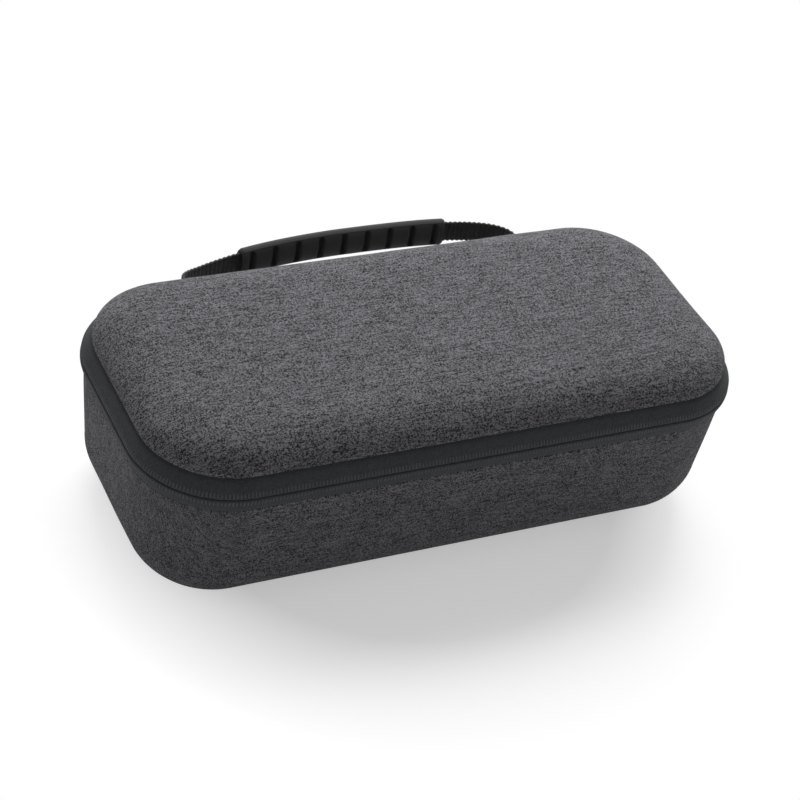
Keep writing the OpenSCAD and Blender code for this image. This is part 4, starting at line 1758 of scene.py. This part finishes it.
@dataclass
class Studio:
    """Camera, lamps, floor and background."""

    azimuth: float = -32.185
    elevation: float = 38.223
    distance: float = 1.03738
    target: Triple = (0.0, 0.0, 0.05)
    lens: float = 98.569
    roll: float = 11.855
    shift: Point = (-0.00817, -0.00298)
    floor_colour: float = 0.9
    floor_lift: float = 0.44
    floor_fade: Point = (0.11, 0.178)
    floor_reach: float = 8.0
    world_level: float = 0.17
    key_power: float = 17.5
    key_place: Triple = (0.36, 0.84, 0.9)
    fill_power: float = 0.4
    fill_place: Triple = (-0.4, -1.2, 0.9)
    lamp_size: float = 1.0

    def aim(self, name: str, data: bpy.types.ID, back: Vector, roll: float = 0.0) -> bpy.types.Object:
        """Places a camera or a lamp so that it faces the case.

        Args:
            name: its name.
            data: its data.
            back: its place from the target.
            roll: its turn round its own axis, in degrees.

        Returns:
            The object.
        """
        thing = bpy.data.objects.new(name, data)
        thing.location = Vector(self.target) + back
        thing.rotation_mode = "QUATERNION"
        turn = Quaternion((0, 0, 1), math.radians(roll))
        thing.rotation_quaternion = back.to_track_quat("Z", "Y") @ turn
        bpy.context.scene.collection.objects.link(thing)
        return thing

    def camera(self) -> None:
        """Sets the camera to the photograph's view."""
        az, el = math.radians(self.azimuth), math.radians(self.elevation)
        back = Vector((math.sin(az) * math.cos(el), -math.cos(az) * math.cos(el), math.sin(el)))
        data = bpy.data.cameras.new("camera")
        data.lens, data.sensor_width = self.lens, 36.0
        data.shift_x, data.shift_y = self.shift
        data.clip_start, data.clip_end = 0.01, 50.0
        bpy.context.scene.camera = self.aim("camera", data, back * self.distance, self.roll)

    def lamp(self, name: str, place: Triple, power: float) -> None:
        """Adds a square soft lamp.

        Args:
            name: its name.
            place: its place.
            power: its power in watts.
        """
        data = bpy.data.lights.new(name, "AREA")
        data.shape, data.size, data.energy = "SQUARE", self.lamp_size, power
        self.aim(name, data, Vector(place) - Vector(self.target))

    def seen(self, g: Graph) -> bpy.types.NodeSocket:
        """Tells the rays that show the background: directly, in gloss or through glass.

        Args:
            g: the tree that asks.

        Returns:
            1 for such a ray and 0 for another.
        """
        path = g.add("ShaderNodeLightPath").outputs
        direct = g.math("MAXIMUM", path["Is Camera Ray"], path["Is Glossy Ray"])
        return g.math("MAXIMUM", direct, path["Is Transmission Ray"])

    def world(self) -> None:
        """Makes the world: white where it is seen, and a plain soft level as light."""
        world = bpy.data.worlds.new("studio")
        world.use_nodes = True
        g = Graph(world.node_tree)
        strength = g.span(self.seen(g), 0.0, 1.0, self.world_level, 1.0)
        ground = g.add("ShaderNodeBackground", {"Color": (1, 1, 1, 1), "Strength": strength})
        g.add("ShaderNodeOutputWorld", {0: ground.outputs[0]})
        bpy.context.scene.world = world

    def floor(self) -> None:
        """Makes the floor, which keeps the case's shadow and turns to plain white further out."""
        material = bpy.data.materials.new("studio_floor")
        material.use_nodes = True
        g = Graph(material.node_tree)
        place = g.add("ShaderNodeTexCoord").outputs["Object"]
        away = g.add("ShaderNodeVectorMath", {0: place}, operation="LENGTH").outputs["Value"]
        share = g.math("MULTIPLY", g.span(away, *self.floor_fade), self.seen(g))
        paint = g.add("ShaderNodeBsdfDiffuse", {"Color": (self.floor_colour,) * 3 + (1,)})
        lift = g.add("ShaderNodeEmission", {"Strength": g.math("MULTIPLY", self.seen(g), self.floor_lift)})
        near = g.add("ShaderNodeAddShader", {0: paint.outputs[0], 1: lift.outputs[0]})
        white = g.add("ShaderNodeEmission", {"Strength": 1.0})
        both = g.add("ShaderNodeMixShader", {0: share, 1: near.outputs[0], 2: white.outputs[0]})
        g.add("ShaderNodeOutputMaterial", {0: both.outputs[0]})
        mesh = bpy.data.meshes.new("floor")
        far = self.floor_reach
        corners = [(-far, -far, 0), (far, -far, 0), (far, far, 0), (-far, far, 0)]
        mesh.from_pydata(corners, [], [(0, 1, 2, 3)])
        mesh.materials.append(material)
        floor = place_mesh("floor", mesh)
        floor.location.z = -0.0003

    def build(self) -> None:
        """Sets up camera, lamps, floor, world and the plain view."""
        self.camera()
        self.lamp("key_lamp", self.key_place, self.key_power)
        self.lamp("fill_lamp", self.fill_place, self.fill_power)
        self.world()
        self.floor()
        bpy.context.scene.view_settings.view_transform = "Standard"


def main() -> None:
    """Builds the case, sub-assembly by sub-assembly, and the studio round it."""
    logging.basicConfig(level=logging.INFO, format="%(name)s: %(message)s")
    wardrobe = Wardrobe()
    Studio().build()
    for assembly in (Shells, Zip, Hinge, Handle, Pulls, Inside):
        assembly(wardrobe).build()
        log.info("%s built", assembly.__name__)


if __name__ == "__main__":
    main()
